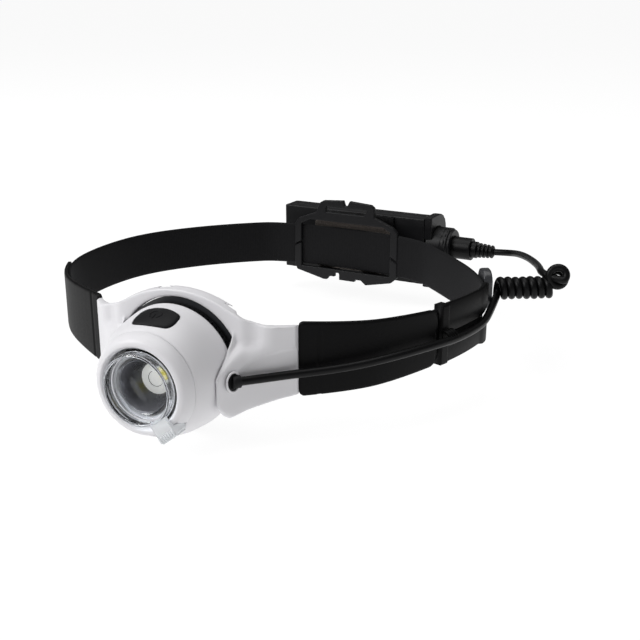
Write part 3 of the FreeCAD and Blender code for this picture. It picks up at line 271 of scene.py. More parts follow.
def silicone_rubber():
    """Compression-moulded silicone: soft black without sparkle, catching a broad highlight."""
    return grained("silicone_rubber_black", srgb("#141416"), 0.5, 0.03, 0.1, 0.55, IOR=1.41,
                   Specular_IOR_Level=0.25)[0]


def moulded_tpu():
    """Polyurethane rubber moulded over fabric: deep black, satin, with a slow mottle."""
    return grained("moulded_polyurethane_black", chosen("panel"), 0.7, 0.06, 0.15, 0.5, spread=0.08, IOR=1.5,
                   Specular_IOR_Level=0.1)[0]


def cord_pvc():
    """Extruded soft PVC: smooth satin black, a little waxy, with faint flow marks."""
    return grained("extruded_pvc_black", srgb("#0A0A0B"), 1.2, 0.03, 0.12, 0.4, IOR=1.53,
                   Specular_IOR_Level=0.14)[0]


def anodised_aluminium():
    """Turned aluminium, black anodised: dark satin metal, finely clouded."""
    return grained("anodised_aluminium_black", srgb("#26272A"), 0.25, 0.02, 0.12, 0.38, Metallic=0.85)[0]


def zinc_steel():
    """Steel with a zinc plating: cool grey metal, slightly clouded."""
    return grained("zinc_plated_steel", srgb("#A7AAAE"), 0.6, 0.01, 0.08, 0.32, Metallic=1.0)[0]


def solder_mask(name, text, light=0.0):
    """Epoxy board under solder mask: a smooth lacquer with a faint cloud of copper below; a light above zero
    paints a glow on it, standing in for light that reaches the board through the lens.
    """
    colour = srgb(text)
    made, shader = grained(name, colour, 1.6, 0.04, 0.1, 0.35, IOR=1.5, Coat_Weight=0.4)
    # Painted glow: with a light above zero the board gives off light of its own, though it is no lamp.
    glow(shader, colour, light)
    return made


def led_phosphor():
    """Phosphor in silicone: saturated yellow, with a little light of its own and a soft gloss."""
    made, shader = grained("led_phosphor_yellow", srgb("#F2E21E"), 0.15, 0.01, 0.1, 0.3, IOR=1.5)
    glow(shader, srgb("#F4E600"), 0.35)
    return made


def shrink_sleeve():
    """Printed PVC sleeve shrunk on a cell: smooth blue film with a soft gloss."""
    return grained("shrink_sleeve_blue", srgb("#2C4F86"), 2.0, 0.02, 0.08, 0.3, IOR=1.54)[0]


def woven_elastic():
    """Elastic woven flat: fine ribs across the strap and warp threads along it, drawn coarse to show."""
    weave = bpy.context.scene.work_light_sizes.weave
    ribs = 0.314 / weave
    made, tree, shader = surface("woven_elastic_black", chosen("strap"), Roughness=0.82, Specular_IOR_Level=0.2,
                                 Sheen_Weight=0.08, Sheen_Roughness=0.45, Sheen_Tint=srgb("#6E6E74"))
    cloth = node(tree, "ShaderNodeAttribute", attribute_name="cloth").outputs["Vector"]
    cross = node(tree, "ShaderNodeTexWave", {"Vector": cloth, "Scale": ribs, "Distortion": 0.6, "Detail": 1.0},
                 bands_direction="X")
    along = node(tree, "ShaderNodeTexWave", {"Vector": cloth, "Scale": ribs / 0.7, "Distortion": 0.4},
                 bands_direction="Y")
    mesh = node(tree, "ShaderNodeMath", {0: cross.outputs["Fac"], 1: along.outputs["Fac"]},
                operation="MULTIPLY")
    high = node(tree, "ShaderNodeMath", {0: noise(tree, cloth, 0.5, 4.0), 1: 0.5, 2: mesh.outputs["Value"]},
                operation="MULTIPLY_ADD")
    bump(tree, shader, high.outputs["Value"], 0.5, 0.12)
    tint(tree, shader, mesh.outputs["Value"], chosen("strap"), 0.6, 1.35)
    return made


def loop_fabric(name, text, light):
    """Knitted loop fabric over foam: a curly pile that scatters light in small tufts."""
    made, tree, shader = surface(name, srgb(text), Roughness=0.95, Sheen_Weight=0.5, Sheen_Tint=srgb(light))
    where = on_object(tree)
    tuft = node(tree, "ShaderNodeTexVoronoi", {"Vector": where, "Scale": 1 / (0.9 * MM)})
    curl = noise(tree, where, 0.45, 5.0)
    high = node(tree, "ShaderNodeMath", {0: tuft.outputs["Distance"], 1: 0.7, 2: curl},
                operation="MULTIPLY_ADD")
    bump(tree, shader, high.outputs["Value"], 0.9, 0.35)
    tint(tree, shader, curl, srgb(text), 0.45, 1.6)
    return made


def painted_wall():
    """Matt white paint on a studio wall and floor: no highlight, only soft shade."""
    made, tree, shader = surface("matt_wall_paint", srgb("#626262"), Roughness=0.95, Specular_IOR_Level=0.1)
    glow(shader, srgb("#FFFFFF"), 0.93)
    bump(tree, shader, noise(tree, on_object(tree), 4, 2.0), 0.1, 0.1)
    return made


MATERIALS = {
    "abs": moulded_abs,
    "clear": polished_polycarbonate,
    "nylon": moulded_nylon,
    "frost": frosted_polycarbonate,
    "well": lens_wall_painted_reflection,
    "acetal": grey_acetal,
    "silicone": silicone_rubber,
    "tpu": moulded_tpu,
    "pvc": cord_pvc,
    "anodised": anodised_aluminium,
    "steel": zinc_steel,
    "green_board": lambda: solder_mask("solder_mask_green", "#1D5A33"),
    # The LED board's painted glow stands in for the light that reaches it through the lens.
    "white_board": lambda: solder_mask("solder_mask_white", "#F4F4F0", light=0.55),
    "phosphor": led_phosphor,
    "sleeve": shrink_sleeve,
    "elastic": woven_elastic,
    "pile": lambda: loop_fabric("loop_fabric_brown_grey", "#4D4743", "#8A8078"),
    "brow": lambda: loop_fabric("loop_fabric_black", "#222224", "#5A5A60"),
    "wall": painted_wall,
}
made_materials = {}


def material(key):
    """The material of that key, made when it is first asked for."""
    if key not in made_materials:
        made_materials[key] = MATERIALS[key]()
    return made_materials[key]


# ---- mesh tools

def new_piece(name, verts, faces, key, body, smooth=True, attribute=None):
    """A mesh object in metres from points in millimetres, with its material and body."""
    mesh = bpy.data.meshes.new(name)
    mesh.from_pydata([tuple(Vector(v) * MM) for v in verts], [], faces)
    mesh.validate()
    bm = bmesh.new()
    bm.from_mesh(mesh)
    bmesh.ops.recalc_face_normals(bm, faces=bm.faces)
    bm.to_mesh(mesh)
    bm.free()
    if attribute:
        layer = mesh.attributes.new("cloth", "FLOAT_VECTOR", "POINT")
        for i, (u, v) in enumerate(attribute):
            layer.data[i].vector = (u * MM, v * MM, 0)
    for face in mesh.polygons:
        face.use_smooth = smooth
    return place(mesh, name, key, body)


def place(mesh, name, key, body):
    """Links a mesh to the scene as a piece that rides on a body."""
    piece = bpy.data.objects.new(name, mesh)
    bpy.context.scene.collection.objects.link(piece)
    mesh.materials.clear()
    mesh.materials.append(material(key))
    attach(piece, body)
    return piece


def baked(piece):
    """Turns a piece's modifiers into its mesh."""
    bpy.context.view_layer.update()
    graph = bpy.context.evaluated_depsgraph_get()
    mesh = bpy.data.meshes.new_from_object(piece.evaluated_get(graph), preserve_all_data_layers=True,
                                           depsgraph=graph)
    piece.modifiers.clear()
    old = piece.data
    piece.data = mesh
    bpy.data.meshes.remove(old)
    return piece


def joined(name, pieces):
    """Several meshes as one, under a new name."""
    bm = bmesh.new()
    for piece in pieces:
        bm.from_mesh(piece.data)
    mesh = bpy.data.meshes.new(name)
    bm.to_mesh(mesh)
    bm.free()
    for face in mesh.polygons:
        face.use_smooth = True
    first = pieces[0]
    mesh.materials.append(first.data.materials[0])
    first.data = mesh
    first.name = name
    for piece in pieces[1:]:
        bpy.data.objects.remove(piece)
    return first


def soft(points, radius, closed=True, steps=4):
    """A flat outline with its corners rounded; a corner may give its own radius as a third number."""
    out = []
    count = len(points)
    for i in range(count):
        here = Vector(points[i][:2])
        r = points[i][2] if len(points[i]) > 2 else radius
        if not closed and i in (0, count - 1) or r <= 0:
            out.append(tuple(here))
            continue
        way_in = Vector(points[i - 1][:2]) - here
        way_out = Vector(points[(i + 1) % count][:2]) - here
        reach = min(r, 0.45 * way_in.length, 0.45 * way_out.length)
        start = here + way_in.normalized() * reach
        end = here + way_out.normalized() * reach
        for k in range(steps + 1):
            t = k / steps
            out.append(tuple(start * (1 - t) ** 2 + here * 2 * t * (1 - t) + end * t * t))
    return out


def lathe(name, profile, key, body, segments=128, closed=True, shape=None):
    """Turns a profile of (radius, way back from the lens rim) about the lamp axis."""
    verts = []
    faces = []
    rings = []
    for r, y in profile:
        if r < 0.01:
            rings.append([len(verts)])
            verts.append((0, FRONT_Y + y, LAMP_Z))
            continue
        ring = []
        for k in range(segments):
            turn = 2 * math.pi * k / segments
            x, z = r * math.cos(turn), r * math.sin(turn)
            if shape:
                x, z = shape(x, z, r, y, math.degrees(turn))
            ring.append(len(verts))
            verts.append((x, FRONT_Y + y, LAMP_Z + z))
        rings.append(ring)
    pairs = list(zip(rings, rings[1:])) + ([(rings[-1], rings[0])] if closed else [])
    for a, b in pairs:
        for k in range(segments):
            n = (k + 1) % segments
            if len(a) == 1 and len(b) == 1:
                break
            if len(a) == 1:
                faces.append((a[0], b[k], b[n]))
            elif len(b) == 1:
                faces.append((a[k], b[0], a[n]))
            else:
                faces.append((a[k], b[k], b[n], a[n]))
    return new_piece(name, verts, faces, key, body)


def spline(points, per=10):
    """Points of the smooth curve that has these points as its controls, ends kept."""
    pts = [Vector(p) for p in points]
    out = [pts[0]]
    for i in range(1, len(pts) - 1):
        start = pts[0] if i == 1 else (pts[i - 1] + pts[i]) / 2
        end = pts[-1] if i == len(pts) - 2 else (pts[i] + pts[i + 1]) / 2
        for k in range(1, per + 1):
            t = k / per
            out.append(start * (1 - t) ** 2 + pts[i] * 2 * t * (1 - t) + end * t * t)
    return out


def evenly(points, step):
    """The same curve with its points about one step apart."""
    lengths = [0.0]
    for a, b in zip(points, points[1:]):
        lengths.append(lengths[-1] + (b - a).length)
    count = max(2, round(lengths[-1] / step))
    out = []
    j = 0
    for i in range(count + 1):
        want = lengths[-1] * i / count
        while j < len(points) - 2 and lengths[j + 1] < want:
            j += 1
        span = lengths[j + 1] - lengths[j]
        share = (want - lengths[j]) / span if span else 0
        out.append(points[j].lerp(points[j + 1], min(1, max(0, share))))
    return out


def band(name, route, loop, key, body, step=1.5):
    """A strip along a plan route; loop(share, way) gives its section as (outwards, up) points."""
    path = evenly(spline([(x, y, 0) for x, y in route]), step)
    verts = []
    faces = []
    marks = []
    way = 0.0
    size = 0
    for i, point in enumerate(path):
        before = path[max(0, i - 1)]
        after = path[min(len(path) - 1, i + 1)]
        ahead = (after - before).normalized()
        right = Vector((ahead.y, -ahead.x, 0))
        if i:
            way += (point - path[i - 1]).length
        section = loop(i / (len(path) - 1), way)
        size = len(section)
        for out, up in section:
            verts.append(point + right * out + Vector((0, 0, up)))
            marks.append((way, up))
    for i in range(len(path) - 1):
        for k in range(size):
            n = (k + 1) % size
            a = i * size
            faces.append((a + k, a + size + k, a + size + n, a + n))
    faces.append(tuple(range(size)))
    last = (len(path) - 1) * size
    faces.append(tuple(last + k for k in reversed(range(size))))
    return new_piece(name, verts, faces, key, body, attribute=marks)


def soft_skin(piece, voxel, rounds):
    """Melts a piece's solids into one skin of small cells, then rounds its edges."""
    remesh = piece.modifiers.new("skin", "REMESH")
    remesh.mode = "VOXEL"
    remesh.voxel_size = voxel * MM
    remesh.use_smooth_shade = True
    smooth = piece.modifiers.new("soft_edges", "SMOOTH")
    smooth.factor = 0.5
    smooth.iterations = rounds


def moulded(name, cad, key, body, voxel, rounds):
    """A CAD node's solid with soft moulded edges, in place of the node."""
    piece = place(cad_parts[cad].data.copy(), name, key, body)
    soft_skin(piece, voxel, rounds)
    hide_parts(cad)
    return piece


def finish_node(name, key):
    """Gives a CAD node that stays as it is its material."""
    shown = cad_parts[name]
    shown.data.materials.clear()
    shown.data.materials.append(material(key))
    for face in shown.data.polygons:
        face.use_smooth = False


# ---- pieces: cord

def coil_points():
    """The cord's turns: the coil that starts at the clip, then the loop that ends it."""
    pitch = bpy.context.scene.work_light_sizes.coil_pitch / MM
    side = COIL_WAY.cross(Vector((0, 0, 1))).normalized()
    top = side.cross(COIL_WAY).normalized()
    out = []
    per = 14
    swell = 1 / math.cos(math.pi / per)
    for i in range(int(COIL_TURNS * per) + 1):
        turn = math.radians(180 + 360 * i / per)
        wobble = 1 + 0.03 * math.sin(1.7 * i / per)
        ring = (top * math.cos(turn) + side * math.sin(turn)) * COIL_RADIUS * swell * wobble
        out.append(COIL_START + COIL_WAY * (COIL_LEAD_IN + pitch * i / per) + ring)
    count = int(LOOP_TURNS * per)
    for i in range(count + 1):
        turn = math.radians(LOOP_TURN_START - 360 * i / per)
        middle = LOOP_NEAR.lerp(LOOP_FAR, i / count)
        out.append(middle + (LOOP_RIGHT * math.cos(turn) + LOOP_UP * math.sin(turn)) * LOOP_RADIUS * swell)
    return out


def make_cord():
    """The power cord: along the band, coiled behind the clip, then to its plug."""
    route = [Vector(p) for p in CORD_RUN] + coil_points() + [Vector(p) for p in CORD_LEAD]
    curve = bpy.data.curves.new("power_cord", "CURVE")
    curve.dimensions = "3D"
    line = curve.splines.new("NURBS")
    line.points.add(len(route) - 1)
    for place_at, point in zip(line.points, route):
        place_at.co = (*(point * MM), 1)
    line.order_u = 3
    line.use_endpoint_u = True
    line.resolution_u = 4
    curve.bevel_depth = CORD_THICK / 2 * MM
    curve.bevel_resolution = 6
    curve.use_fill_caps = True
    cord = bpy.data.objects.new("power_cord", curve)
    bpy.context.scene.collection.objects.link(cord)
    curve.materials.append(material("pvc"))
    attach(cord, "headband")
    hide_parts("cord_front_run", "cord_coil", "cord_lead")


class WORKLIGHT_OT_cord(bpy.types.Operator):
    """Adds the power cord with its coil"""

    bl_idname = "worklight.cord"
    bl_label = "Power cord"

    def execute(self, context):
        make_cord()
        return {"FINISHED"}


# ---- pieces: lamp head

def shell_radius(y):
    """Outer radius of the bell-shaped shell at a way back from the lens rim."""
    knots = [(8.6, 23.25), (11, 24.5), (14, 25.7), (17, 26.55), (20, 27.2), (25, 27.9), (30, 28.4)]
    y = min(max(y, knots[0][0]), knots[-1][0])
    for (y0, r0), (y1, r1) in zip(knots, knots[1:]):
        if y <= y1:
            return r0 + (r1 - r0) * (y - y0) / (y1 - y0)
    return knots[-1][1]


def flatten(x, z, r, y, turn):
    """Keeps the shell flat beside the bracket's cheeks."""
    return max(-SIDE_FLAT, min(SIDE_FLAT, x)), z


BUTTON = [(-8.06, 12.7), (-4.4, 11.8), (0.2, 11.5), (4.6, 12.1), (8.4, 13.2), (9.6, 16.9), (9.2, 21.5),
          (8.2, 23.7), (4.4, 24.8), (0, 25.1), (-4.4, 24.8), (-8.2, 23.7), (-9.3, 21.4), (-9.6, 17.0)]


BUTTON_MIDDLE = 18.4
BUTTON_RISE = 0.75


def button_ring(scale):
    """The button's outline seen from above, shrunk or grown about its middle."""
    mid = Vector((0, BUTTON_MIDDLE))
    outline = soft(BUTTON, 2.2, steps=4)
    return [mid + (Vector(p) - mid) * scale for p in outline]


def make_button():
    """The rubber power button, crowned, with the raised power sign."""
    rings = []
    verts = []
    levels = [(0.02, 1.0), (0.3, 1.0), (0.55, 0.98), (0.75, 0.92), (0.88, 0.8), (0.95, 0.62), (0.985, 0.35),
              (1.0, 0.0), (1.0, -1.0), (0.97, -2.4)]
    for scale, rise in levels:
        ring = []
        for x, y in button_ring(scale):
            r = shell_radius(y) + BUTTON_RISE * rise
            ring.append(len(verts))
            verts.append((x, FRONT_Y + y, LAMP_Z + math.sqrt(max(0, r * r - x * x))))
        rings.append(ring)
    faces = [tuple(rings[0])]
    count = len(rings[0])
    for a, b in zip(rings, rings[1:]):
        faces += [(a[k], b[k], b[(k + 1) % count], a[(k + 1) % count]) for k in range(count)]
    faces.append(tuple(reversed(rings[-1])))
    pad = new_piece("power_button_pad", verts, faces, "silicone", "power_key")
    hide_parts("power_button")
    power_sign()


def tube_mesh(points, radius, sides=8, closed=False):
    """Verts and faces of a round tube through points that lie close together."""
    verts = []
    faces = []
    count = len(points)
    for i, point in enumerate(points):
        before = points[i - 1] if closed or i else points[0]
        after = points[(i + 1) % count] if closed or i < count - 1 else points[-1]
        ahead = (after - before).normalized()
        side = ahead.cross(Vector((0.13, 0.2, 1))).normalized()
        up = side.cross(ahead)
        for k in range(sides):
            turn = 2 * math.pi * k / sides
            verts.append(point + (side * math.cos(turn) + up * math.sin(turn)) * radius)
    last = count if closed else count - 1
    for i in range(last):
        for k in range(sides):
            a = i * sides
            b = (i + 1) % count * sides
            n = (k + 1) % sides
            faces.append((a + k, b + k, b + n, a + n))
    if not closed:
        faces.append(tuple(range(sides)))
        faces.append(tuple((count - 1) * sides + k for k in reversed(range(sides))))
    return verts, faces


def add_part(verts, faces, more_verts, more_faces):
    """Adds a second mesh's verts and faces to the first one's lists."""
    faces += [tuple(v + len(verts) for v in face) for face in more_faces]
    verts += more_verts


def power_sign():
    """The raised ring and bar that mean power, on the button."""
    def on_top(x, y):
        r = shell_radius(y) + BUTTON_RISE - 0.03
        return Vector((x, FRONT_Y + y, LAMP_Z + math.sqrt(r * r - x * x)))

    ring = []
    gap = 32
    radius = 2.6
    thick = 0.32
    for i in range(33):
        turn = math.radians(-90 + gap + (360 - 2 * gap) * i / 32)
        ring.append(on_top(radius * math.cos(turn), BUTTON_MIDDLE + radius * math.sin(turn)))
    verts, faces = tube_mesh(ring, thick)
    add_part(verts, faces, *tube_mesh([on_top(0, BUTTON_MIDDLE - 0.45 * i) for i in range(8)], thick))
    new_piece("power_sign", verts, faces, "silicone", "power_key")


def make_shell():
    """The white bell of the head, with the button's opening cut in its top."""
    depths = [8.75 + 22.5 * i / 26 for i in range(27)]
    outer = [(shell_radius(y) - (0.25 if y == depths[0] else 0), y) for y in depths]
    inner = [(28.2, 31.5), (27.85, 31.5), (27.85, 30.3), (26.4, 30.1), (25.2, 20), (23.7, 14), (21.3, 9)]
    shell = lathe("head_shell_white", outer + inner, "abs", "lamp_head", 192, shape=flatten)
    tool_verts = []
    outline = button_ring(1.035)
    for z in (10, 40):
        tool_verts += [(x, FRONT_Y + y, LAMP_Z + z) for x, y in outline]
    count = len(outline)
    tool_faces = [tuple(range(count)), tuple(range(2 * count - 1, count - 1, -1))]
    tool_faces += [(k, (k + 1) % count, count + (k + 1) % count, count + k) for k in range(count)]
    tool = new_piece("button_opening", tool_verts, tool_faces, "abs", "lamp_head",
                     smooth=False)
    carve = shell.modifiers.new("opening", "BOOLEAN")
    carve.object = tool
    carve.operation = "DIFFERENCE"
    carve.solver = "EXACT"
    baked(shell)
    bpy.data.objects.remove(tool)
    edges = shell.modifiers.new("moulded_edges", "BEVEL")
    edges.width = 0.25 * MM
    edges.segments = 2
    edges.limit_method = "ANGLE"
    edges.angle_limit = math.radians(50)
    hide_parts("head_shell")


def notch(x, z, r, y, turn):
    """Lowers the bezel where the focus lever runs."""
    turn = turn - 360 if turn > 180 else turn
    floor = 20.3
    if -130 <= turn <= -36 and r > floor and y < 8.6:
        return x * floor / r, z * floor / r
    return x, z


def make_bezel():
    """The rounded white ring in front of the shell."""
    profile = soft([(17.4, 3.6, 0.5), (18.4, 2.3, 0.9), (20.6, 3.0, 1.8), (22.5, 5.6, 2.2), (23.35, 8.55, 0.5),
                    (20.9, 8.6, 0.2), (20.9, 12, 0.3), (19.3, 12, 0.3), (17.4, 10, 0.4)], 0.4, steps=5)
    bezel = lathe("front_bezel_white", profile, "abs", "lamp_head", 256, shape=notch)
    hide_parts("front_bezel")


LEVER_TURN = -52
LEVER_ROOT = 20.6
LEVER_MIDDLE = 20


def make_focus_ring():
    """The clear ring in front of the lens, with the ribbed lever that turns it."""
    profile = soft([(14.4, 0.7, 0.6), (15.0, 0, 0.6), (15.8, 0.4, 0.5), (15.8, 4, 0.2), (17, 4.2, 0.3),
                    (17, 19, 0.3), (15.9, 19, 0.2), (15.9, 4.9, 0.2), (14.4, 4.6, 0.4)], 0.3)
    ring = lathe("focus_ring_round", profile, "clear", "focus_dial", 192)
    turn = math.radians(LEVER_TURN)
    out = Vector((math.cos(turn), 0, math.sin(turn)))
    side = Vector((-math.sin(turn), 0, math.cos(turn)))
    outline = soft([(15.2, -4.2, 0.2), (20.2, -4.5, 0.5), (23.3, -4.7, 0.8)]
                   + [(23.0 + 0.85 * ((k + 1) % 2), -4.1 + 8.2 * k / 12, 0.3) for k in range(13)]
                   + [(23.3, 4.7, 0.8), (20.2, 4.5, 0.5), (15.2, 4.2, 0.2)], 0.3, steps=3)
    verts = []
    faces = []
    layers = [(0.35, 0.985), (0.15, 1.0), (8.2, 1.0), (8.4, 0.985)]
    axis = Vector((0, FRONT_Y, LAMP_Z))
    for y, scale in layers:
        for r, s in outline:
            depth = 2.0 if r < LEVER_ROOT and y > 4 else y
            reach = LEVER_MIDDLE + (r - LEVER_MIDDLE) * scale
            verts.append(axis + out * reach + side * s * scale + Vector((0, depth + 0.3, 0)))
    count = len(outline)
    faces.append(tuple(range(count)))
    for layer in range(3):
        a = layer * count
        b = a + count
        faces += [(a + k, a + (k + 1) % count, b + (k + 1) % count, b + k) for k in range(count)]
    faces.append(tuple(3 * count + k for k in reversed(range(count))))
    new_piece("focus_lever", verts, faces, "frost", "focus_dial", smooth=False)
    ribs = []
    rib_faces = []
    for k in range(7):
        across = side * (-3.9 + 1.3 * k)
        line = [axis + out * r + across + Vector((0, y, 0))
                for r, y in ((20.9, 0.75), (21.6, 0.3), (23.4, 0.3), (24.0, 1.0), (24.0, 7.6))]
        add_part(ribs, rib_faces, *tube_mesh(line, 0.42))
    new_piece("focus_lever_ribs", ribs, rib_faces, "frost", "focus_dial")
    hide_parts("focus_ring")


DOME_RADIUS = 6.9
DOME_RISE = 1.7
WELL_DEPTH = 16.0


def make_lens():
    """The clear lens: an outer cone, a deep front well and a convex middle."""
    dome = []
    for step in range(0, 91, 10):
        turn = math.radians(step)
        dome.append((DOME_RADIUS * math.sin(turn), WELL_DEPTH - DOME_RISE * math.cos(turn)))
    profile = dome[:-1] + soft([(7.0, 15.9, 0.2), (11.4, 5.6, 0.4), (12.0, 5.05, 0.3), (14.1, 5.0, 0.3),
                                (14.2, 6.8, 0.2), (12.8, 6.9, 0.2), (7.6, 16.0, 0.3), (6.8, 16.9, 0.2),
                                (3.4, 16.9, 0.2), (3.2, 16.6, 0.2), (0, 16.6)], 0.3, closed=False, steps=3)
    lens = lathe("lens_clear", profile, "clear", "lens_slide", 96, closed=False)
    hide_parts("tir_lens")
    # Painted reflection: a thin grey cone just behind the lens wall stands in for the dark reflection seen in
    # the wall.
    lathe("lens_well_wall", [(11.25, 5.8), (11.1, 6.0), (6.9, 15.8), (6.98, 15.85), (11.3, 5.95)], "well",
          "lens_slide", 96)


class WORKLIGHT_OT_head(bpy.types.Operator):
    """Adds the head shell, the bezel, the focus ring with its lever and the lens"""

    bl_idname = "worklight.head"
    bl_label = "Lamp head"

    def execute(self, context):
        make_shell()
        make_bezel()
        make_focus_ring()
        make_lens()
        return {"FINISHED"}


class WORKLIGHT_OT_button(bpy.types.Operator):
    """Adds the rubber power button with its raised sign"""

    bl_idname = "worklight.button"
    bl_label = "Power button"

    def execute(self, context):
        make_button()
        return {"FINISHED"}


# ---- pieces: bracket and headband

def between(x, knots):
    """The value at x on straight runs between (x, value) knots."""
    if x <= knots[0][0]:
        return knots[0][1]
    for (x0, v0), (x1, v1) in zip(knots, knots[1:]):
        if x <= x1:
            return v0 + (v1 - v0) * (x - x0) / (x1 - x0)
    return knots[-1][1]


def ease(t):
    """A smooth step from 0 to 1."""
    t = min(1.0, max(0.0, t))
    return t * t * (3 - 2 * t)


OUTLINE_TOP = [(0, 29.6), (5, 29.35), (9.4, 28.7), (14, 27.6), (18.5, 26), (23, 24), (27.5, 21.8), (31, 20),
               (35, 18.4), (39, 17.4), (43, 16.8), (48, 16.2), (53, 15.9)]
OUTLINE_LOW = [(0, -28.5), (9, -27.7), (18, -25.2), (27.5, -21.8), (35.5, -19.3), (43.5, -17.2), (53, -15.9)]
CHEEK_SEAM = [(-25, 35), (-22.5, 28), (-19.3, 23), (-15.5, 19.2), (-12.1, 17.1), (-8.5, 15.8), (-5, 15.5),
              (-1.5, 17.6), (1.7, 21.9), (4.5, 26.6), (6.5, 30), (8.5, 34), (10.5, 35.6)]
FLANK = [(26.9, 16.5), (28.4, 18.6), (30.6, 24), (34.6, 30.4), (40.5, 37.5), (46, 43.2), (51.5, 48.6),
         (53, 49.7)]
DENT = [(31, -3.5), (33, 0.5), (35.5, 3.2), (38, 4.6), (41, 5.5), (46, 6.2), (52, 6.6)]


def bracket_depth(x, z):
    """How far back from the lens rim the bracket's front skin lies."""
    side = abs(x)
    flank = between(side, FLANK)
    seam = between(z, CHEEK_SEAM)
    blend = 0.6 + 8 * ease((side - 27.5) / 7)
    far = math.hypot(flank - seam, blend)
    depth = (flank + seam + far) / 2 - 0.3
    if side > 36:
        depth = depth + (flank - depth) * ease((side - 36) / 8)
    if x > 30:
        depth += 1.8 * ease((between(x, DENT) - z) / 1.3) * ease((x - 30) / 4)
    return depth


BACK = [(26.9, 30), (27.4, 32), (32, 36.5), (38.5, 41.2), (44, 45.6), (49.7, 50.9), (52.5, 53)]
ARM_END = 50.0
CHEEK_EDGE = 26.95
CHEEK_LOW = 9.3
LIP_RADIUS = 30.2
LIP_BACK = 38.9
CORE_HALF = 27.4


def bracket_skin():
    """Front wall of the bracket: the lip over the head, both cheeks and both arms."""
    verts = []
    faces = []
    wall = 2.3
    for side in (-1, 1):
        cols = []
        count = 66
        for i in range(count + 1):
            x = ARM_END * i / count
            if x < CHEEK_EDGE:
                low = LAMP_Z + math.sqrt(max(0.0, LIP_RADIUS ** 2 - x * x))
            else:
                t = ease((x - CHEEK_EDGE) / 0.8)
                low = CHEEK_LOW * (1 - t) + (between(x, OUTLINE_LOW) + 0.2) * t
            cols.append((x, low, between(x, OUTLINE_TOP) - 0.2))
        rows = 44
        base = len(verts)
        for x, low, high in cols:
            for back in (0, 1):
                for k in range(rows + 1):
                    z = low + (high - low) * k / rows
                    y = bracket_depth(side * x, z)
                    if back:
                        y = max(y + wall, between(x, BACK) if x > BACK[0][0] else LIP_BACK)
                    verts.append((side * x, FRONT_Y + y, z))
        ring = 2 * (rows + 1)
        for i in range(len(cols) - 1):
            a = base + i * ring
            b = a + ring
            for k in range(rows):
                faces.append((a + k, b + k, b + k + 1, a + k + 1))
                faces.append((a + rows + 1 + k, a + rows + 2 + k, b + rows + 2 + k, b + rows + 1 + k))
            faces.append((a, a + rows + 1, b + rows + 1, b))
            faces.append((a + rows, b + rows, b + 2 * rows + 1, a + 2 * rows + 1))
        for a in (base, base + (len(cols) - 1) * ring):
            for k in range(rows):
                faces.append((a + k, a + k + 1, a + rows + 2 + k, a + rows + 1 + k))
    return verts, faces


def make_bracket():
    """The bracket: its skin over the moulding's ribs and lugs, melted into one soft-edged skin."""
    verts, faces = bracket_skin()
    skin = new_piece("bracket_skin", verts, faces, "abs", "headband")
    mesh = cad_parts["bracket_frame"].data.copy()
    middle = bmesh.new()
    middle.from_mesh(mesh)
    for side in (-1, 1):
        whole = middle.verts[:] + middle.edges[:] + middle.faces[:]
        bmesh.ops.bisect_plane(middle, geom=whole, plane_co=(side * CORE_HALF * MM, 0, 0),
                               plane_no=(side, 0, 0), clear_outer=True)
        bmesh.ops.holes_fill(middle, edges=[e for e in middle.edges if e.is_boundary], sides=0)
    middle.to_mesh(mesh)
    middle.free()
    core = place(mesh, "bracket_core", "abs", "headband")
    bracket = joined("bracket_white", [skin, core])
    soft_skin(bracket, 0.42, 15)
    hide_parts("bracket_frame")
    start = Vector(CORD_RUN[0])
    out = Vector((0.95, -0.3, 0.06)).normalized()
    side = out.cross(Vector((0, 0, 1))).normalized()
    up = side.cross(out)
    ring = []
    for k in range(40):
        turn = 2 * math.pi * k / 40
        ring.append(start + out * 0.1 + (side * math.cos(turn) * 3.7 + up * math.sin(turn) * 4.2))
    verts, faces = tube_mesh(ring, 0.45, 10, closed=True)
    new_piece("cord_hole_rim", verts, faces, "abs", "headband")
    # Painted shade: a black disc fills the hole's mouth, standing in for the shade inside the hole.
    verts, faces = tube_mesh([start - out * 0.4, start + out * 0.05, start + out * 0.1], 3.75, 40)
    new_piece("cord_hole_seat", verts, faces, "silicone", "headband", smooth=False)
    ahead = (Vector(CORD_RUN[1]) - start).normalized()
    line = [start + ahead * reach for reach in (-0.6, 1, 2.6, 2.9)]
    verts, faces = tube_mesh(line, 2.75, 28)
    sleeve = new_piece("cord_sleeve", verts, faces, "silicone", "headband")
    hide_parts("cord_grommet")


class WORKLIGHT_OT_bracket(bpy.types.Operator):
    """Adds the white bracket with its cord grommet"""

    bl_idname = "worklight.bracket"
    bl_label = "Bracket"

    def execute(self, context):
        make_bracket()
        return {"FINISHED"}


def strap_loop(share, way):
    """Section of the woven strap, with thin rounded edges."""
    t = STRAP_THICK / 2 - 0.02
    h = STRAP_TALL / 2 - 0.05
    rows = [-h, -h + 0.5, -h + 1.4] + [-9 + 2.25 * k for k in range(9)] + [h - 1.4, h - 0.5, h]
    thick = [0.25 * t, 0.8 * t, t] + [t] * 9 + [t, 0.8 * t, 0.25 * t]
    return [(o, z) for z, o in zip(rows, thick)] + [(-o, z) for z, o in reversed(list(zip(rows, thick)))]


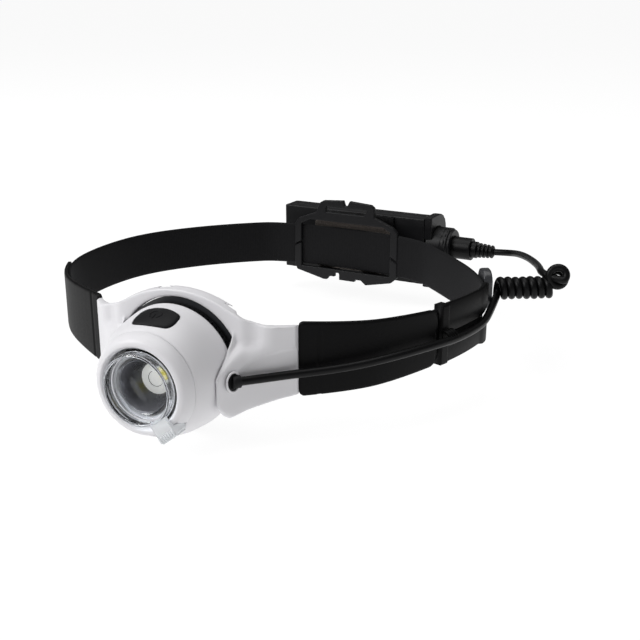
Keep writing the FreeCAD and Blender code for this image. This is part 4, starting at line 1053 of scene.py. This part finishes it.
def panel_loop(length, side):
    """Section of a side panel: ribbed at the bracket end, tapered and rounded at its ends."""
    near = STRAP_THICK / 2 + 0.3
    far = near + 1.8

    def loop(share, way):
        half = 17 - (3.5 if side > 0 else 4.2) * min(1, share * 1.04)
        for end, r in ((way, 2.5), (length - way, 5.0)):
            if end < r:
                half -= r - math.sqrt(max(0.0, r * r - (r - end) ** 2))
        swell = 0.0
        if 8.2 < way < 9.6:
            swell = -0.35
        if way < 1.2 or length - way < 1.2:
            swell = -0.5
        out = far + swell
        points = [(near, -half), (out - 0.5, -half), (out - 0.1, -half + 0.5), (out, -half + 1.4),
                  (out, -half * 0.5), (out, 0), (out, half * 0.5), (out, half - 1.4), (out - 0.1, half - 0.5),
                  (out - 0.5, half), (near, half), (near, 0)]
        return [(side * o, z) for o, z in points]
    return loop


def strap_part(start, end):
    """The strap's route from one length to another, measured from its right front end."""
    path = evenly(spline([(x, y, 0) for x, y in STRAP_ROUTE[:10]]), 1.0)
    part = path[int(start):int(end) + 1]
    return [(p.x, p.y) for p in part]


def make_keepers():
    """The thin loop that holds the cord, the forked rubber sleeve behind it and the clip."""
    def loop(share, way):
        half = 14.0
        t = STRAP_THICK / 2 + 2.9
        return [(t - 0.35, -half - 0.4), (t, -half + 0.5), (t, 0), (t, half - 0.5), (t - 0.35, half + 0.4),
                (-1.5, half + 0.4), (-1.6, 0), (-1.5, -half - 0.4)]

    ring = band("front_keeper_band", strap_part(80, 85), loop, "tpu", "headband", 0.8)
    way = strap_part(82, 83)
    middle = Vector((*way[0], 0))
    ahead = (Vector((*way[1], 0)) - middle).normalized()
    out = Vector((ahead.y, -ahead.x, 0))
    arch = []
    for k in range(25):
        turn = math.radians(-110 + 220 * k / 24)
        up = Vector((0, 0, -0.4 + 3.1 * math.sin(turn)))
        arch.append(middle + out * (5.9 + 2.9 * math.cos(turn)) + up)
    verts = []
    faces = []
    for shift in (-2.4, -0.8, 0.8, 2.4):
        add_part(verts, faces, *tube_mesh([p + ahead * shift for p in arch], 0.85))
    new_piece("front_keeper_hoop", verts, faces, "tpu", "headband")
    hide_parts("front_keeper")
    lobes = []
    long = 46
    start = 85.5
    for sign in (1, -1):
        def fork(share, way, sign=sign):
            half = 14.6 - 0.6 * share
            tip = max(0.0, (way - (long - 15)) / 15)
            near = 0.02 + 9.0 * tip ** 1.4
            far = half + 1.6 * math.sin(math.pi * min(1, tip)) - 4.2 * tip ** 3
            far = max(far, near + 0.4)
            t = STRAP_THICK / 2 + 0.3
            swell = 1.3 + 0.9 * math.sin(math.pi * min(1, tip))
            return [(t, sign * near), (t + swell, sign * (near + 0.3)), (t + swell, sign * (near + far) / 2),
                    (t + swell, sign * (far - 0.6)), (t + swell - 0.5, sign * far), (t, sign * far)]
        part = strap_part(start, start + long)
        lobes.append(band("sleeve_half", part, fork, "tpu", "headband", 0.8))
    sleeve = joined("rear_keeper_sleeve", lobes)
    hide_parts("rear_keeper")
    clip = moulded("cord_clip_fin", "cord_clip", "acetal", "headband", 0.4, 12)
    side = Vector((0.888, 0.46, 0))
    inner = min(v.co.dot(side) for v in clip.data.vertices)
    for v in clip.data.vertices:
        v.co -= side * (v.co.dot(side) - inner) * 0.3


class WORKLIGHT_OT_headband(bpy.types.Operator):
    """Adds the elastic strap, the side panels, the keepers and the cord clip"""

    bl_idname = "worklight.headband"
    bl_label = "Headband"

    def execute(self, context):
        strap = band("strap_elastic", STRAP_ROUTE, strap_loop, "elastic", "headband")
        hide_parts("headband_strap")
        for name, cad, route, side in (("side_panel_right_skin", "side_panel_right", PANEL_RIGHT, 1),
                                       ("side_panel_left_skin", "side_panel_left", PANEL_LEFT, -1)):
            path = spline([(x, y, 0) for x, y in route])
            length = sum((b - a).length for a, b in zip(path, path[1:]))
            panel = band(name, route, panel_loop(length, side), "tpu", "headband", step=0.6)
            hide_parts(cad)
        make_keepers()
        return {"FINISHED"}


class WORKLIGHT_OT_pads(bpy.types.Operator):
    """Adds the forehead pad and the pad behind the buckle"""

    bl_idname = "worklight.pads"
    bl_label = "Pads"

    def execute(self, context):
        brow = moulded("forehead_cushion", "forehead_pad", "brow", "headband", 0.6, 14)
        pad = moulded("buckle_cushion", "buckle_pad", "pile", "headband", 0.6, 12)
        for v in brow.data.vertices:
            v.co.z *= 0.84
        return {"FINISHED"}


class WORKLIGHT_OT_rear(bpy.types.Operator):
    """Adds the buckle, the battery case and the connector with its strain relief"""

    bl_idname = "worklight.rear"
    bl_label = "Buckle and battery"

    def execute(self, context):
        for name, cad, voxel, rounds in (("buckle_frame_moulding", "buckle_frame", 0.35, 4),
                                         ("case_front_moulding", "battery_case_front", 0.5, 3),
                                         ("case_rear_moulding", "battery_case_rear", 0.5, 3),
                                         ("end_cap_moulding", "end_cap", 0.35, 3)):
            moulded(name, cad, "nylon", "headband", voxel, rounds)
        moulded("lock_collar_moulding", "lock_collar", "nylon", "lock_ring", 0.25, 2)
        ends = [moulded("plug_moulding", "plug_body", "pvc", "headband", 0.25, 3),
                moulded("relief_moulding", "strain_relief", "pvc", "headband", 0.2, 2)]
        return {"FINISHED"}


INNER = {
    "silicone": ["front_seal", "rear_gasket"],
    "green_board": ["switch_board", "driver_board", "battery_board"],
    # The LED board takes the material with the painted glow.
    "white_board": ["led_board"],
    "phosphor": ["led_emitter"],
    "anodised": ["heat_sink"],
    "abs": ["lens_carrier"],
    "acetal": ["bracket_backplate"],
    "nylon": ["tact_switch", "rear_cover", "battery_holder", "power_socket"],
    "sleeve": ["cell_upper", "cell_lower"],
    "steel": ["cover_screws", "backplate_screws", "hinge_pin", "detent_spring", "cell_contacts", "case_screws"],
}


class WORKLIGHT_OT_inner(bpy.types.Operator):
    """Gives the inner and plain pieces their materials"""

    bl_idname = "worklight.inner"
    bl_label = "Inner pieces"

    def execute(self, context):
        for key, names in INNER.items():
            for name in names:
                finish_node(name, key)
        return {"FINISHED"}


# ---- stage

def area_light(name, at, towards, size, power):
    """A square soft box that shines towards a point."""
    lamp = bpy.data.lights.new(name, "AREA")
    lamp.shape = "SQUARE"
    lamp.size = size
    lamp.energy = power
    made = bpy.data.objects.new(name, lamp)
    made.location = at
    made.rotation_euler = (Vector(towards) - Vector(at)).to_track_quat("-Z", "Y").to_euler()
    bpy.context.scene.collection.objects.link(made)


class WORKLIGHT_OT_stage(bpy.types.Operator):
    """Adds the camera, the white floor, the soft boxes and the pale surroundings"""

    bl_idname = "worklight.stage"
    bl_label = "Stage"

    def execute(self, context):
        scene = context.scene
        lens = bpy.data.cameras.new("view")
        lens.sensor_width = 36
        lens.lens = FOCAL_LENGTH
        lens.clip_start = 0.01
        lens.clip_end = 200
        camera = bpy.data.objects.new("view", lens)
        ahead = CAMERA_AHEAD.normalized()
        right = ahead.cross(CAMERA_UP).normalized()
        up = right.cross(ahead)
        turn = Matrix((right, up, -ahead)).transposed()
        camera.matrix_world = Matrix.Translation(CAMERA_AT * MM) @ turn.to_4x4()
        scene.collection.objects.link(camera)
        scene.camera = camera
        low = CAD_BOX[0][2] - 0.001
        bpy.ops.mesh.primitive_plane_add(size=120, location=(0, 0, low))
        floor = context.object
        floor.name = "floor"
        floor.data.materials.append(material("wall"))
        area_light("soft_box_top", (-0.1, 0.1, 1.6), (0, 0, 0), 1.4, 15)
        area_light("soft_box_left", (-1.2, -1.1, 1.2), (0, -0.05, 0), 1.0, 27)
        area_light("soft_box_right", (1.5, -0.9, 0.6), (0, -0.05, 0), 0.8, 0.8)
        world = bpy.data.worlds.new("pale_surroundings")
        world.use_nodes = True
        sky = world.node_tree.nodes["Background"]
        sky.inputs["Color"].default_value = srgb("#FFFFFF")
        sky.inputs["Strength"].default_value = 0.13
        scene.world = world
        scene.view_settings.view_transform = "Standard"
        return {"FINISHED"}


class WORKLIGHT_PT_panel(bpy.types.Panel):
    """Lists the pieces, sizes and colours of the work light"""

    bl_idname = "WORKLIGHT_PT_panel"
    bl_label = "Headband work light"
    bl_space_type = "VIEW_3D"
    bl_region_type = "UI"
    bl_category = "Work light"

    def draw(self, context):
        for step in STEPS:
            self.layout.operator("worklight." + step)
        for group in (context.scene.work_light_sizes, context.scene.work_light_colours):
            for key in group.bl_rna.properties.keys():
                if key not in ("rna_type", "name"):
                    self.layout.prop(group, key)


STEPS = ["stage", "cord", "head", "button", "bracket", "headband", "pads", "rear", "inner"]
CLASSES = [WorkLightSizes, WorkLightColours, WORKLIGHT_OT_stage, WORKLIGHT_OT_cord, WORKLIGHT_OT_head,
           WORKLIGHT_OT_button, WORKLIGHT_OT_bracket, WORKLIGHT_OT_headband, WORKLIGHT_OT_pads,
           WORKLIGHT_OT_rear, WORKLIGHT_OT_inner, WORKLIGHT_PT_panel]


def register():
    """Registers the classes and the settings that hang on the scene."""
    for kind in CLASSES:
        bpy.utils.register_class(kind)
    bpy.types.Scene.work_light_sizes = bpy.props.PointerProperty(type=WorkLightSizes)
    bpy.types.Scene.work_light_colours = bpy.props.PointerProperty(type=WorkLightColours)


def unregister():
    """Takes the settings and the classes away again."""
    del bpy.types.Scene.work_light_colours
    del bpy.types.Scene.work_light_sizes
    for kind in reversed(CLASSES):
        bpy.utils.unregister_class(kind)


def main():
    """Registers the add-on and makes every piece in order."""
    register()
    for step in STEPS:
        getattr(bpy.ops.worklight, step)()


if __name__ == "__main__":
    main()
